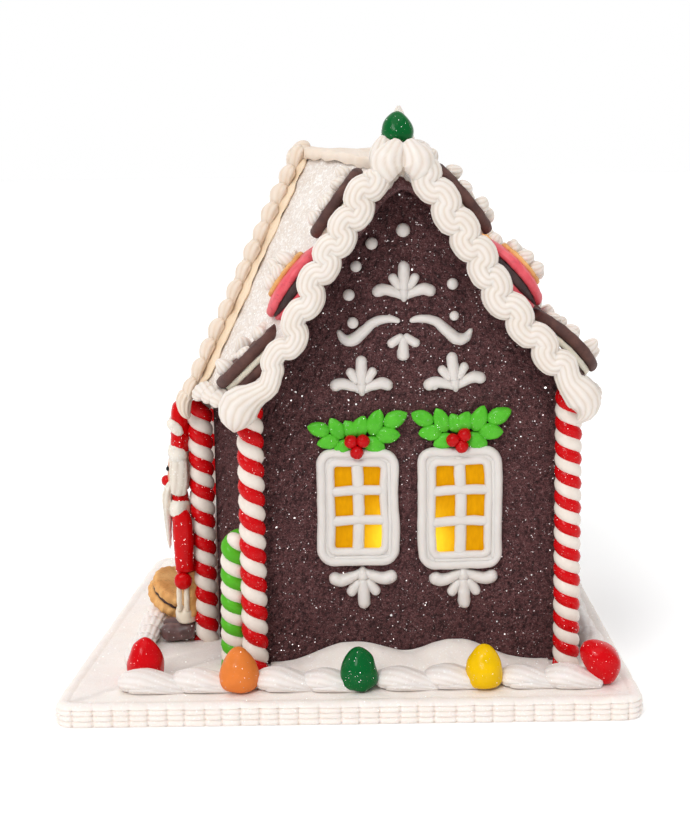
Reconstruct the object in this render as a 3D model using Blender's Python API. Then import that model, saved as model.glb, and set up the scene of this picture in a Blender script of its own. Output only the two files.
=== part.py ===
"""Light-up gingerbread house of modelling clay, standing on a white icing board.

Units are metres, +Z is up. The origin is the middle of the board's underside.
The gable wall with the two windows faces -Y. The door side, with the bearded
figure and the step cookie, faces -X. The house is symmetric about the XZ plane.
"""
import math

import bmesh
import bpy
from mathutils import Matrix, Vector

MM = 0.001
GAP = 0.0003

# board
BOARD_W = 282 * MM
BOARD_D = 266 * MM
BOARD_H = 11 * MM
BOARD_TAPER = 19 * MM
BOARD_CORNER = 11 * MM
FLOOR = BOARD_H + GAP

DRIFT_D = 21.5 * MM

# roof: peak line, eave line and plan corners
RIDGE_Z = 265 * MM
EAVE_Z = 146 * MM
SOFFIT_Z = 143 * MM
PEAK_X = 28.5 * MM
FRONT_PEAK_X = -20 * MM
GABLE_Y = 93 * MM
DOOR_EAVE_X = -75.5 * MM
BACK_EAVE_X = 119 * MM
SIDE_EAVE_X = -50.5 * MM
SLAB = 5 * MM

# walls
WALL_Y = 77.2 * MM
WALL_BACK_X = 107 * MM
WALL_DOOR_X = -68.5 * MM
CANT_POINT = (-41 * MM, -80 * MM)
CANT_NORMAL = (-0.861, -0.51)

# candy pillars and canes
PILLAR_R = 6.3 * MM
PILLAR_TURN = 14.6 * MM
CORNER_PILLAR = (-46.5 * MM, 84.2 * MM)
BACK_PILLAR = (109 * MM, 84.2 * MM)
DOOR_PILLAR = (-75.6 * MM, 35 * MM)
DOOR_PILLAR_TOP = 141 * MM
CANE = (-58.8 * MM, 79 * MM)
CANE_R = 6 * MM
CANE_TOP = 81 * MM
CANE_CAP = 4 * MM
CANE_TURN = 12 * MM

# icing ropes
RAKE_R = 5.3 * MM
RAKE_WAVE = 16 * MM
RAKE_SWING = 1.6 * MM
RAKE_Y = 99.3 * MM
RAKE_DEPTH = 5.9 * MM
# how far beside the peak the icing's middle line starts, and its height there
RAKE_START = (7 * MM, 264.5 * MM)
# where each line stops running straight, and its end, as X and Z
RAKE_LEFT_KNEE = (-39 * MM, 155.5 * MM)
RAKE_LEFT_TAIL = (-53 * MM, 141 * MM)
RAKE_RIGHT_KNEE = (105 * MM, 160 * MM)
RAKE_RIGHT_TAIL = (116 * MM, 142 * MM)
ROPE_R = 4.4 * MM
ROPE_PITCH = 9 * MM
BORDER_W = 10 * MM
BORDER_H = 9 * MM
BORDER_Y = 109.8 * MM

# gumdrops (X, Y of the middle, colour name)
GUMDROP_R = 9.2 * MM
GUMDROP_H = 21 * MM
GUMDROPS = {
    "gumdrop_red_door_corner": (-100, -96, "red"),
    "gumdrop_orange": (-52.8, -113.5, "orange"),
    "gumdrop_green": (5, -114, "green"),
    "gumdrop_yellow": (65.2, -113, "yellow"),
    "gumdrop_red_back_corner": (120.5, -111, "red"),
}

WAFER_T = 4.6 * MM
CREAM_T = 3.4 * MM

COLOURS = {
    "board_white": (0.86, 0.79, 0.74, 0.6),
    "icing": (0.88, 0.79, 0.71, 0.45),
    "roof_white": (0.86, 0.80, 0.74, 0.55),
    "gingerbread": (0.095, 0.04, 0.042, 0.8),
    "candy_stripe": (0.72, 0.12, 0.12, 0.25),
    "cane_stripe": (0.18, 0.55, 0.08, 0.3),
    "red": (0.62, 0.01, 0.012, 0.2),
    "orange": (0.80, 0.25, 0.06, 0.3),
    "green": (0.01, 0.14, 0.04, 0.2),
    "yellow": (0.86, 0.52, 0.01, 0.2),
    "dark_wafer": (0.10, 0.045, 0.04, 0.7),
    "cream": (0.75, 0.70, 0.55, 0.5),
    "pink": (0.78, 0.12, 0.14, 0.5),
    "dark_filling": (0.06, 0.03, 0.03, 0.6),
    "tan_cookie": (0.60, 0.30, 0.10, 0.7),
    "window_icing": (0.72, 0.66, 0.61, 0.4),
    "red_coat": (0.50, 0.01, 0.012, 0.3),
}


def clear_scene():
    """Remove every object of the open file."""
    for old in list(bpy.data.objects):
        bpy.data.objects.remove(old)


def material(name):
    """A Principled material with the named colour and roughness."""
    found = bpy.data.materials.get(name)
    if found:
        return found
    made = bpy.data.materials.new(name)
    made.use_nodes = True
    shader = made.node_tree.nodes["Principled BSDF"]
    red, green, blue, rough = COLOURS[name]
    shader.inputs["Base Color"].default_value = (red, green, blue, 1)
    shader.inputs["Roughness"].default_value = rough
    return made


def add(name, bm, colour, smooth=True):
    """Turn a bmesh into a named object with its material."""
    bmesh.ops.recalc_face_normals(bm, faces=bm.faces)
    mesh = bpy.data.meshes.new(name)
    bm.to_mesh(mesh)
    bm.free()
    mesh.materials.append(material(colour))
    if smooth:
        mesh.shade_smooth()
        mesh.set_sharp_from_angle(angle=math.radians(50))
    thing = bpy.data.objects.new(name, mesh)
    bpy.context.scene.collection.objects.link(thing)
    return thing


def cutter(name, bm):
    """A hidden solid that only cuts other solids."""
    tool = add(name, bm, "icing", smooth=False)
    tool.hide_render = True
    tool.display_type = "WIRE"
    return tool


def cut_by(thing, tool):
    """Take the cutter out of an object with a Boolean."""
    step = thing.modifiers.new("cut_" + tool.name, "BOOLEAN")
    step.operation = "DIFFERENCE"
    step.solver = "EXACT"
    step.object = tool


def trim(bm, point, normal):
    """Cut away what lies on the normal's side of a plane and close the cut."""
    everything = bm.verts[:] + bm.edges[:] + bm.faces[:]
    done = bmesh.ops.bisect_plane(bm, geom=everything, dist=1e-7, plane_co=point,
                                  plane_no=normal, clear_outer=True)
    rim = [e for e in done["geom_cut"] if isinstance(e, bmesh.types.BMEdge)]
    if rim:
        bmesh.ops.edgeloop_fill(bm, edges=rim)


def convex(planes, reach=0.4):
    """The convex solid behind all the given planes."""
    bm = bmesh.new()
    bmesh.ops.create_cube(bm, size=2 * reach)
    for point, normal in planes:
        trim(bm, point, normal)
    return bm


def sweep(path, sizes, up, sides=6, slant=0.0, half=False):
    """A closed tube along a path.

    sizes holds each ring's half width and half height; slant shifts the top of
    each ring along the path; half makes a tube with a flat underside.
    """
    bm = bmesh.new()
    up = Vector(up)
    span = math.pi if half else 2 * math.pi
    steps = sides - 1 if half else sides
    rings = []
    for i, point in enumerate(path):
        ahead = Vector(path[min(i + 1, len(path) - 1)])
        behind = Vector(path[max(i - 1, 0)])
        tangent = (ahead - behind).normalized()
        side = tangent.cross(up).normalized()
        normal = side.cross(tangent)
        width, height = sizes[i]
        ring = []
        for k in range(sides):
            angle = span * k / steps
            offset = side * width * math.cos(angle) + normal * height * math.sin(angle)
            ring.append(bm.verts.new(Vector(point) + offset + tangent * slant * math.sin(angle)))
        rings.append(ring)
    for low, high in zip(rings, rings[1:]):
        for k in range(sides):
            after = (k + 1) % sides
            bm.faces.new((low[k], low[after], high[after], high[k]))
    bm.faces.new(rings[0])
    bm.faces.new(rings[-1])
    return bm


def lathe(profile, sides, centre=(0, 0, 0), lobes=0, depth=0.0, turn=0.0):
    """A turned solid from (radius, height) pairs, with optional scalloped rim."""
    bm = bmesh.new()
    rings = []
    for radius, height in profile:
        ring = []
        for k in range(sides):
            angle = turn + 2 * math.pi * k / sides
            r = radius * (1 - depth * (0.5 - 0.5 * math.cos(lobes * angle)))
            ring.append(bm.verts.new((r * math.cos(angle), r * math.sin(angle), height)))
        rings.append(ring)
    for low, high in zip(rings, rings[1:]):
        for k in range(sides):
            after = (k + 1) % sides
            bm.faces.new((low[k], low[after], high[after], high[k]))
    bm.faces.new(rings[0])
    bm.faces.new(rings[-1])
    bmesh.ops.translate(bm, verts=bm.verts, vec=centre)
    return bm


def line(start, end, share):
    """The point at a share of the way from start to end."""
    return Vector(start).lerp(Vector(end), share)


def mirrored(bm):
    """The same solid on the far side of the XZ plane."""
    bmesh.ops.scale(bm, verts=bm.verts, vec=(1, -1, 1))
    return bm


# roof planes

PEAK = Vector((PEAK_X, -GABLE_Y, RIDGE_Z))
FRONT_PEAK = Vector((FRONT_PEAK_X, 0, RIDGE_Z))
SIDE_EAVE = Vector((SIDE_EAVE_X, -GABLE_Y, EAVE_Z))


def side_normal():
    """Outward normal of the facet between the gable and the door side."""
    normal = (SIDE_EAVE - PEAK).cross(FRONT_PEAK - PEAK).normalized()
    return normal if normal.x < 0 else -normal


def roof_planes(offset):
    """The roof's facets, each moved outwards by offset."""
    rise = RIDGE_Z - EAVE_Z
    side = side_normal()
    far_side = Vector((side.x, -side.y, side.z))
    far_peak = Vector((PEAK.x, -PEAK.y, PEAK.z))
    door = Vector((-rise, 0, FRONT_PEAK_X - DOOR_EAVE_X)).normalized()
    back = Vector((rise, 0, BACK_EAVE_X - PEAK_X)).normalized()
    facets = [(PEAK, side), (far_peak, far_side), (FRONT_PEAK, door),
              (PEAK, back), (PEAK, Vector((0, 0, 1)))]
    return [(point + normal * offset, normal) for point, normal in facets]


def door_corner():
    """Where the side facet, the door facet and the eave meet."""
    share = (SIDE_EAVE_X - DOOR_EAVE_X) / (PEAK_X - FRONT_PEAK_X)
    return Vector((DOOR_EAVE_X, -GABLE_Y * (1 - share), EAVE_Z))


# board and snow

def make_board():
    """Trapezoid icing board with round corners and a soft upper edge."""
    bm = bmesh.new()
    half_w = BOARD_W / 2
    half_d = BOARD_D / 2
    corners = [(-half_w, -half_d), (half_w, -half_d), (half_w, half_d),
               (-half_w + BOARD_TAPER, half_d)]
    base = bm.faces.new([bm.verts.new((x, y, 0)) for x, y in corners])
    grown = bmesh.ops.extrude_face_region(bm, geom=[base])
    top = [v for v in grown["geom"] if isinstance(v, bmesh.types.BMVert)]
    bmesh.ops.translate(bm, verts=top, vec=(0, 0, BOARD_H))
    upright = [e for e in bm.edges if abs(e.verts[0].co.z - e.verts[1].co.z) > BOARD_H / 2]
    bmesh.ops.bevel(bm, geom=upright, offset=BOARD_CORNER, segments=4, profile=0.5,
                    affect="EDGES")
    rim = [e for e in bm.edges if min(v.co.z for v in e.verts) > BOARD_H - 1e-5]
    bmesh.ops.bevel(bm, geom=rim, offset=2 * MM, segments=2, profile=0.5, affect="EDGES")
    off_centre = (min(v.co.x for v in bm.verts) + max(v.co.x for v in bm.verts)) / 2
    bmesh.ops.translate(bm, verts=bm.verts, vec=(-off_centre, 0, 0))
    return add("board", bm, "board_white")


def drift_height(x):
    """Height of the snow against the wall at x."""
    left = 10.5 * math.exp(-(((x - 4 * MM) / (22 * MM)) ** 2))
    right = 11 * math.exp(-(((x - 53 * MM) / (21 * MM)) ** 2))
    return (0.8 + left + right) * MM


def make_drift(name, far):
    """Snow drift that leans on a gable wall."""
    bm = bmesh.new()
    columns = 14
    x_low, x_high = -39 * MM, 101 * MM
    rows = []
    for i in range(columns + 1):
        x = x_low + (x_high - x_low) * i / columns
        height = drift_height(x)
        outline = [(0, 0), (0, height), (8 * MM, height * 0.8), (15 * MM, height * 0.35),
                   (DRIFT_D, 0.5 * MM), (DRIFT_D, 0)]
        rows.append([bm.verts.new((x, -WALL_Y - GAP - out, FLOOR + up)) for out, up in outline])
    for low, high in zip(rows, rows[1:]):
        for k in range(len(low)):
            after = (k + 1) % len(low)
            bm.faces.new((low[k], low[after], high[after], high[k]))
    bm.faces.new(rows[0])
    bm.faces.new(rows[-1])
    return add(name, mirrored(bm) if far else bm, "board_white")


def border(start, end, shells, rings=4, half_width=BORDER_W):
    """A row of piped shells with a flat underside."""
    start, end = Vector(start), Vector(end)
    path = []
    sizes = []
    count = shells * rings
    for i in range(count + 1):
        hump = abs(math.sin(math.pi * (i / rings + 0.12)))
        ends = 0.55 if i in (0, count) else 1.0
        path.append(line(start, end, i / count))
        sizes.append((half_width * (0.9 + 0.1 * hump) * ends,
                      BORDER_H * (0.55 + 0.45 * hump) * ends))
    return sweep(path, sizes, (0, 0, 1), sides=6, half=True)


def make_borders():
    """Shell borders on the four sides of the board."""
    edge = BORDER_Y - BORDER_W - 1.5 * MM
    near = add("border_near", border((-115 * MM, -BORDER_Y, FLOOR), (110 * MM, -BORDER_Y, FLOOR), 9),
               "icing")
    for name, (x, y, _) in GUMDROPS.items():
        wide = GUMDROP_R + 2 * GAP
        tool = lathe([(wide, 0), (wide, 45 * MM)], 10, (x * MM, y * MM, 0))
        cut_by(near, cutter("seat_" + name, tool))
    add("border_far", border((-102 * MM, BORDER_Y, FLOOR), (131 * MM, BORDER_Y, FLOOR), 9), "icing")
    side = 7 * MM
    add("border_door", border((-107 * MM, -85.5 * MM, FLOOR), (-103 * MM, edge, FLOOR), 14, 2, side),
        "icing")
    add("border_back", border((126 * MM, -edge, FLOOR), (126 * MM, edge, FLOOR), 14, 2, side),
        "icing")


# walls, roof and roof icing

def make_house():
    """Solid gingerbread body up to the underside of the roof."""
    cant = Vector((CANT_NORMAL[0], CANT_NORMAL[1], 0)).normalized()
    far_cant = Vector((cant.x, -cant.y, 0))
    planes = roof_planes(-SLAB - GAP) + [
        (Vector((0, -WALL_Y, 0)), Vector((0, -1, 0))),
        (Vector((0, WALL_Y, 0)), Vector((0, 1, 0))),
        (Vector((WALL_BACK_X, 0, 0)), Vector((1, 0, 0))),
        (Vector((WALL_DOOR_X, 0, 0)), Vector((-1, 0, 0))),
        (Vector((CANT_POINT[0], CANT_POINT[1], 0)), cant),
        (Vector((CANT_POINT[0], -CANT_POINT[1], 0)), far_cant),
        (Vector((0, 0, FLOOR)), Vector((0, 0, -1))),
    ]
    return add("house", convex(planes), "gingerbread", smooth=False)


def make_roof():
    """Roof slab with overhanging gables, open below."""
    ends = [(Vector((0, -GABLE_Y, 0)), Vector((0, -1, 0))),
            (Vector((0, GABLE_Y, 0)), Vector((0, 1, 0))),
            (Vector((0, 0, SOFFIT_Z)), Vector((0, 0, -1)))]
    roof = add("roof", convex(roof_planes(0) + ends), "roof_white", smooth=False)
    cut_by(roof, cutter("roof_inside", convex(roof_planes(-SLAB))))
    return roof


def scalloped_edge(start, end, count, out, depth):
    """Points along one side of the top icing, bulging outwards."""
    points = []
    start, end = Vector(start), Vector(end)
    away = Vector((end.y - start.y, start.x - end.x)).normalized()
    for i in range(2 * count):
        bulge = out + (depth if i % 2 else 0)
        points.append(start.lerp(end, i / (2 * count)) + away * bulge)
    return points


def make_top_icing():
    """Flat icing that covers the three-cornered top of the roof."""
    near = (PEAK_X, -GABLE_Y + 1 * MM)
    far = (PEAK_X, GABLE_Y - 1 * MM)
    tip = (FRONT_PEAK_X, 0)
    outline = (scalloped_edge(near, far, 16, 1 * MM, 1.2 * MM)
               + scalloped_edge(far, tip, 10, 1 * MM, 1.2 * MM)
               + scalloped_edge(tip, near, 10, 1 * MM, 1.2 * MM))
    bm = bmesh.new()
    low = [bm.verts.new((p.x, p.y, RIDGE_Z + GAP)) for p in outline]
    high = [bm.verts.new((p.x, p.y, RIDGE_Z + 4.5 * MM)) for p in outline]
    for k in range(len(outline)):
        after = (k + 1) % len(outline)
        bm.faces.new((low[k], low[after], high[after], high[k]))
    bm.faces.new(low)
    bm.faces.new(high)
    trim(bm, (0, -GABLE_Y + 0.5 * MM, 0), (0, -1, 0))
    trim(bm, (0, GABLE_Y - 0.5 * MM, 0), (0, 1, 0))
    return add("top_icing", bm, "icing")


def lobed_rope(start, end, up, radius=ROPE_R, pitch=ROPE_PITCH):
    """Round icing rope with one swelling each pitch."""
    start, end = Vector(start), Vector(end)
    lobes = max(2, round((end - start).length / pitch))
    path = []
    sizes = []
    for i in range(2 * lobes + 1):
        swell = 1.0 if i % 2 else 0.8
        path.append(line(start, end, i / (2 * lobes)))
        sizes.append((radius * swell, radius * swell))
    return sweep(path, sizes, up, sides=6, slant=2 * MM)


def make_hips(clear):
    """Icing ropes from the front peak down to the corners of the eave."""
    corner = door_corner()
    direction = (corner - FRONT_PEAK).normalized()
    for name, far in (("hip_icing_near", False), ("hip_icing_far", True)):
        start = FRONT_PEAK - direction * 6 * MM + Vector((-1.0, -1.5, 0)) * MM
        end = corner + direction * 5 * MM + Vector((-2, -1.5, 0)) * MM
        bm = lobed_rope(start, end, (0, 0, 1), pitch=12 * MM)
        trim(bm, (0, 0, RIDGE_Z), (0, 0, 1))
        trim(bm, (0, -GAP, 0), (0, 1, 0))
        cut_by(add(name, mirrored(bm) if far else bm, "icing"), clear)


def make_eaves(clear):
    """Icing ropes along the eaves."""
    corner = door_corner()
    plan = Vector((corner.x - FRONT_PEAK.x, corner.y, 0)).normalized()
    across = Vector((plan.y, -plan.x, 0))
    away = Vector((side_normal().x, side_normal().y, 0)).normalized() * 2 * MM
    room = ROPE_R + 2.2 * MM
    for name, far in (("eave_icing_near", False), ("eave_icing_far", True)):
        bm = lobed_rope(SIDE_EAVE + away, corner + away, (0, 0, 1), 4.8 * MM, 9.5 * MM)
        trim(bm, (0, -GABLE_Y + GAP, 0), (0, -1, 0))
        trim(bm, corner - across * room, across)
        cut_by(add(name, mirrored(bm) if far else bm, "icing"), clear)
    far_corner = Vector((corner.x, -corner.y, corner.z))
    far_across = Vector((across.x, -across.y, 0))
    shift = Vector((-2 * MM, 0, 0))
    bm = lobed_rope(corner + shift, far_corner + shift, (0, 0, 1), 4.8 * MM, 9.5 * MM)
    trim(bm, corner + across * room, -across)
    trim(bm, far_corner + far_across * room, -far_across)
    cut_by(add("eave_icing_door", bm, "icing"), clear)
    bm = lobed_rope((BACK_EAVE_X + 2 * MM, -GABLE_Y, EAVE_Z), (BACK_EAVE_X + 2 * MM, GABLE_Y, EAVE_Z),
                    (0, 0, 1), 4.8 * MM, 14 * MM)
    trim(bm, (0, -GABLE_Y + GAP, 0), (0, -1, 0))
    trim(bm, (0, GABLE_Y - GAP, 0), (0, 1, 0))
    cut_by(add("eave_icing_back", bm, "icing"), clear)


def rake(side, knee, tail, bulb):
    """Thick wavy icing down one side of a gable, turning outwards to a shell at its end."""
    start = Vector((PEAK_X + side * RAKE_START[0], -RAKE_Y, RAKE_START[1]))
    knee = Vector((knee[0], -RAKE_Y, knee[1]))
    tail = Vector((tail[0], -RAKE_Y, tail[1]))
    down = (knee - start).normalized()
    outward = Vector((-down.z * side, 0, abs(down.x)))
    straight = (knee - start).length
    length = straight + (tail - knee).length
    rings = 3 * round(length / RAKE_WAVE)
    path = []
    sizes = []
    for i in range(rings + 1):
        s = length * i / rings
        swing = RAKE_SWING * math.sin(2 * math.pi * s / RAKE_WAVE)
        width = RAKE_R * (1 + 0.7 * math.exp(-((s / (9 * MM)) ** 2)))
        ending = math.exp(-(((length - s - 4 * MM) / (8 * MM)) ** 2))
        width = width + (bulb - RAKE_R) * ending
        if i == rings:
            width = 0.5 * bulb
        spot = start + down * min(s, straight) + (tail - knee).normalized() * max(s - straight, 0)
        path.append(spot + outward * swing)
        sizes.append((min(width, RAKE_DEPTH) if i < rings else width, width))
    bm = sweep(path, sizes, outward, sides=6)
    trim(bm, (PEAK_X + side * GAP / 2, 0, 0), (-side, 0, 0))
    return bm


def make_rakes():
    """Rake icing on both gables."""
    for name, side, knee, tail, bulb in (("left", -1, RAKE_LEFT_KNEE, RAKE_LEFT_TAIL, 9 * MM),
                                         ("right", 1, RAKE_RIGHT_KNEE, RAKE_RIGHT_TAIL, 8 * MM)):
        add("rake_icing_near_" + name, rake(side, knee, tail, bulb), "icing")
        add("rake_icing_far_" + name, mirrored(rake(side, knee, tail, bulb)), "icing")


# candy

def candy_column(x, y, radius, top, turn, cap=0.0):
    """Upright twisted candy rope, its swellings tilted like its stripes.

    cap is the height of a round top above the column.
    """
    rings = 2 * round((top - FLOOR) / turn)
    sections = []
    for i in range(rings + 1):
        z = FLOOR + (top - FLOOR) * i / rings
        swell = radius if i % 2 else radius * 0.88
        sections.append((z, swell, 0 if i in (0, rings) else 0.4))
    if cap:
        sections += [(top + 0.6 * cap, radius * 0.68, 0), (top + cap, radius * 0.3, 0)]
    bm = bmesh.new()
    sides = 6
    levels = []
    for z, swell, tilt in sections:
        ring = []
        for k in range(sides):
            angle = 2 * math.pi * k / sides
            dx, dy = swell * math.cos(angle), swell * math.sin(angle)
            ring.append(bm.verts.new((x + dx, y + dy, z - tilt * dx)))
        levels.append(ring)
    for low, high in zip(levels, levels[1:]):
        for k in range(sides):
            after = (k + 1) % sides
            bm.faces.new((low[k], low[after], high[after], high[k]))
    bm.faces.new(levels[0])
    bm.faces.new(levels[-1])
    return bm


def make_pillars():
    """Six red and white pillars, their tops cut to the roof's underside."""
    places = (("corner", CORNER_PILLAR, 150 * MM), ("back", BACK_PILLAR, 158 * MM),
              ("door", DOOR_PILLAR, DOOR_PILLAR_TOP))
    for name, (x, y), top in places:
        for end, sign in (("near", -1), ("far", 1)):
            bm = candy_column(x, -y, PILLAR_R, top, PILLAR_TURN)
            if name != "door":
                for point, normal in roof_planes(-SLAB - GAP):
                    trim(bm, point, normal)
            add("pillar_%s_%s" % (name, end), mirrored(bm) if sign > 0 else bm, "candy_stripe")


def make_canes():
    """Short green and white canes with round tops, beside the corner pillars."""
    x, y = CANE
    for end, sign in (("near", -1), ("far", 1)):
        bm = candy_column(x, sign * y, CANE_R, CANE_TOP - CANE_CAP, CANE_TURN, CANE_CAP)
        add("cane_" + end, bm, "cane_stripe")


def gumdrop_profile(radius, height):
    """Egg outline, widest in its lower third."""
    steps = ((0.70, 0.0), (0.98, 0.2), (1.0, 0.38), (0.84, 0.65), (0.5, 0.88), (0.18, 1.0))
    return [(radius * r, height * h) for r, h in steps]


def make_gumdrops():
    """Gumdrops in the near border and the one on the gable's peak."""
    for name, (x, y, colour) in GUMDROPS.items():
        bm = lathe(gumdrop_profile(GUMDROP_R, GUMDROP_H), 10, (x * MM, y * MM, FLOOR))
        add(name, bm, colour)
    seat = RIDGE_Z + 4.5 * MM + GAP
    bm = lathe(gumdrop_profile(7.9 * MM, 14.8 * MM), 10, (26.6 * MM, -84 * MM, seat))
    add("gumdrop_top", bm, "green")
    steps = ((6.5, 0), (7.5, 3), (5.2, 8), (3, 13), (0.9, 18.2))
    bm = lathe([(r * MM, h * MM) for r, h in steps], 10, (28.0 * MM, -62 * MM, seat))
    add("top_dollop", bm, "icing")


# cookies on the roof

# outer face from its upper to its lower end at mid depth: x1, z1, x2, z2 in mm
COOKIES = {
    "cookie_left_upper": (7, 259.5, -16.3, 227.2, "dark"),
    "cookie_left_middle": (-12, 222.2, -38, 188.5, "pink"),
    "cookie_left_lower": (-32, 185.5, -64, 154.5, "dark"),
    "cookie_right_upper": (46.7, 261, 73.2, 228.2, "dark"),
    "cookie_right_middle": (69.5, 224.5, 97.5, 193.0, "pink"),
    "cookie_right_lower": (93.5, 190.0, 125, 160.5, "dark"),
}
COOKIE_NEAR_Y = -92.6 * MM


def disc(radius, low, high, sides=14, edge=0.8 * MM):
    """Round layer with softened rims."""
    return lathe([(radius - edge, low), (radius, low + edge), (radius, high - edge),
                  (radius - edge, high)], sides, turn=math.pi / sides)


def plain_disc(radius, low, high, sides=14):
    """Round layer with straight sides."""
    return lathe([(radius, low), (radius, high)], sides, turn=math.pi / sides)


def lay_on_roof(bm, frame, facet):
    """Place a layer by its frame and cut away what would sink into the roof."""
    bmesh.ops.transform(bm, verts=bm.verts, matrix=frame)
    point, normal = facet
    trim(bm, point + normal * GAP, -normal)
    return bm


def make_cookies():
    """Sandwich cookies pressed on the near edge of the roof, layer by layer."""
    planes = roof_planes(0)
    for name, (x1, z1, x2, z2, kind) in COOKIES.items():
        facet = planes[0] if "left" in name else planes[3]
        upper = Vector((x1 * MM, 0, z1 * MM))
        lower = Vector((x2 * MM, 0, z2 * MM))
        radius = (upper - lower).length / 2 - GAP
        along = (lower - upper).normalized()
        outward = along.cross(Vector((0, 1, 0)))
        if outward.z < 0:
            outward = -outward
        middle = (upper + lower) / 2
        middle.y = COOKIE_NEAR_Y + radius
        frame = Matrix.Translation(middle) @ Matrix((
            (along.x, 0, outward.x, 0), (along.y, 1, outward.y, 0),
            (along.z, 0, outward.z, 0), (0, 0, 0, 1)))
        shell, filling = ("dark_wafer", "cream") if kind == "dark" else ("pink", "dark_filling")
        cream_top = -WAFER_T - GAP
        cream_low = cream_top - CREAM_T
        base_top = cream_low - GAP
        layers = (("_wafer_outer", disc(radius, -WAFER_T, 0), shell),
                  ("_filling", plain_disc(radius - 1.6 * MM, cream_low, cream_top), filling),
                  ("_wafer_inner", disc(radius, base_top - WAFER_T, base_top), shell))
        for ending, bm, colour in layers:
            add(name + ending, lay_on_roof(bm, frame, facet), colour)
        if kind == "pink":
            top = disc(radius * 0.62, GAP, GAP + 3 * MM, sides=12)
            add(name.replace("cookie", "tan_cookie"), lay_on_roof(top, frame, facet), "tan_cookie")


# windows

# pane columns and rows of each window, in mm
WINDOWS = {
    "window_left": ((-14.5, -5.0, 4.0, 8.4, 17.7, 26.0),
                    (62.2, 71.0, 82.3, 87.4, 97.7, 102.9, 114.7, 121.9)),
    "window_right": ((35.3, 44.7, 53.7, 58.6, 69.1, 77.5),
                     (60.4, 71.0, 82.3, 87.0, 97.7, 102.2, 114.7, 122.2)),
}
FRAME_T = 4.2 * MM


def make_window(name, columns, rows):
    """Icing frame with glazing bars and six open panes."""
    bm = bmesh.new()
    grid = [[bm.verts.new((x * MM, -WALL_Y - GAP, z * MM)) for x in columns] for z in rows]
    for j in range(len(rows) - 1):
        for i in range(len(columns) - 1):
            if i % 2 and j % 2:
                continue
            bm.faces.new((grid[j][i], grid[j][i + 1], grid[j + 1][i + 1], grid[j + 1][i]))
    grown = bmesh.ops.extrude_face_region(bm, geom=bm.faces[:])
    front = [v for v in grown["geom"] if isinstance(v, bmesh.types.BMVert)]
    bmesh.ops.translate(bm, verts=front, vec=(0, -FRAME_T, 0))
    ends_x = (columns[0] * MM, columns[-1] * MM)
    ends_z = (rows[0] * MM, rows[-1] * MM)
    corners = []
    for edge in bm.edges:
        a, b = (v.co for v in edge.verts)
        upright = abs(a.y - b.y) > FRAME_T / 2
        at_x = min(abs(a.x - x) for x in ends_x) < 1e-6
        at_z = min(abs(a.z - z) for z in ends_z) < 1e-6
        if upright and at_x and at_z:
            corners.append(edge)
    bmesh.ops.bevel(bm, geom=corners, offset=5 * MM, segments=3, profile=0.5, affect="EDGES")
    return add(name, bm, "window_icing")


# door side

def make_figure():
    """Slim bearded figure in a long coat, one piece, looking towards -X."""
    # level, middle x, half width in x, half width in y (mm)
    levels = ((11.3, -90.5, 7.6, 10), (19, -90.5, 7.8, 10), (22, -88.6, 5.6, 9), (28, -87.6, 4.9, 8.5),
              (40, -87.2, 4.5, 8.5), (60, -88.6, 6.0, 11), (84, -88.8, 6.1, 11), (90, -88.8, 6.2, 8.5),
              (101, -88.4, 5.8, 8), (114, -87.8, 5.2, 8), (117, -87.2, 4.6, 7.5), (133, -86.9, 4.3, 6.5),
              (140.3, -86.5, 2.2, 3))
    bm = bmesh.new()
    rings = []
    for z, x, half_x, half_y in levels:
        ring = []
        for k in range(8):
            angle = 2 * math.pi * (k + 0.5) / 8
            ring.append(bm.verts.new(((x + half_x * math.cos(angle)) * MM,
                                      (-34 + half_y * math.sin(angle)) * MM, z * MM)))
        rings.append(ring)
    for low, high in zip(rings, rings[1:]):
        for k in range(8):
            after = (k + 1) % 8
            bm.faces.new((low[k], low[after], high[after], high[k]))
    bm.faces.new(rings[0])
    bm.faces.new(rings[-1])
    return add("figure", bm, "red_coat")


def make_step_cookie():
    """Crimped sandwich cookie that leans on the door-side border as a step."""
    radius = 17.6
    lean = math.radians(22)
    profile = ((radius - 1, 0), (radius, 1), (radius, 4.4), (radius - 1.6, 5), (radius - 1.6, 7.2),
               (radius, 7.8), (radius, 11), (radius - 1.5, 12.5))
    bm = lathe([(r * MM, h * MM) for r, h in profile], 16, lobes=8, depth=0.05)
    frame = Matrix.Translation((-92.7 * MM, -1.5 * MM, 18.6 * MM)) @ Matrix.Rotation(lean, 4, "Y")
    bmesh.ops.transform(bm, verts=bm.verts, matrix=frame)
    return add("step_cookie", bm, "tan_cookie")


def build():
    """Make every part of the house."""
    clear_scene()
    make_board()
    make_drift("drift_near", False)
    make_drift("drift_far", True)
    make_borders()
    make_house()
    make_roof()
    make_top_icing()
    clear = cutter("roof_clearance", convex(roof_planes(GAP) + [
        (Vector((0, 0, SOFFIT_Z - GAP)), Vector((0, 0, -1)))]))
    make_hips(clear)
    make_eaves(clear)
    make_rakes()
    make_pillars()
    make_canes()
    make_gumdrops()
    make_cookies()
    for name, (columns, rows) in WINDOWS.items():
        make_window(name, columns, rows)
    make_figure()
    make_step_cookie()


build()
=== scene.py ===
"""The looks of a gingerbread house made of modelling clay, on its white icing board.

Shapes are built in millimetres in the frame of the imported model: +Z up, the gable
with the two windows facing -Y, the door side facing -X. piece() turns them into
objects in metres that ride the house's one body.
"""
import math

import bpy
import numpy as np
from mathutils import Matrix, Vector
from mathutils.bvhtree import BVHTree


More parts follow.
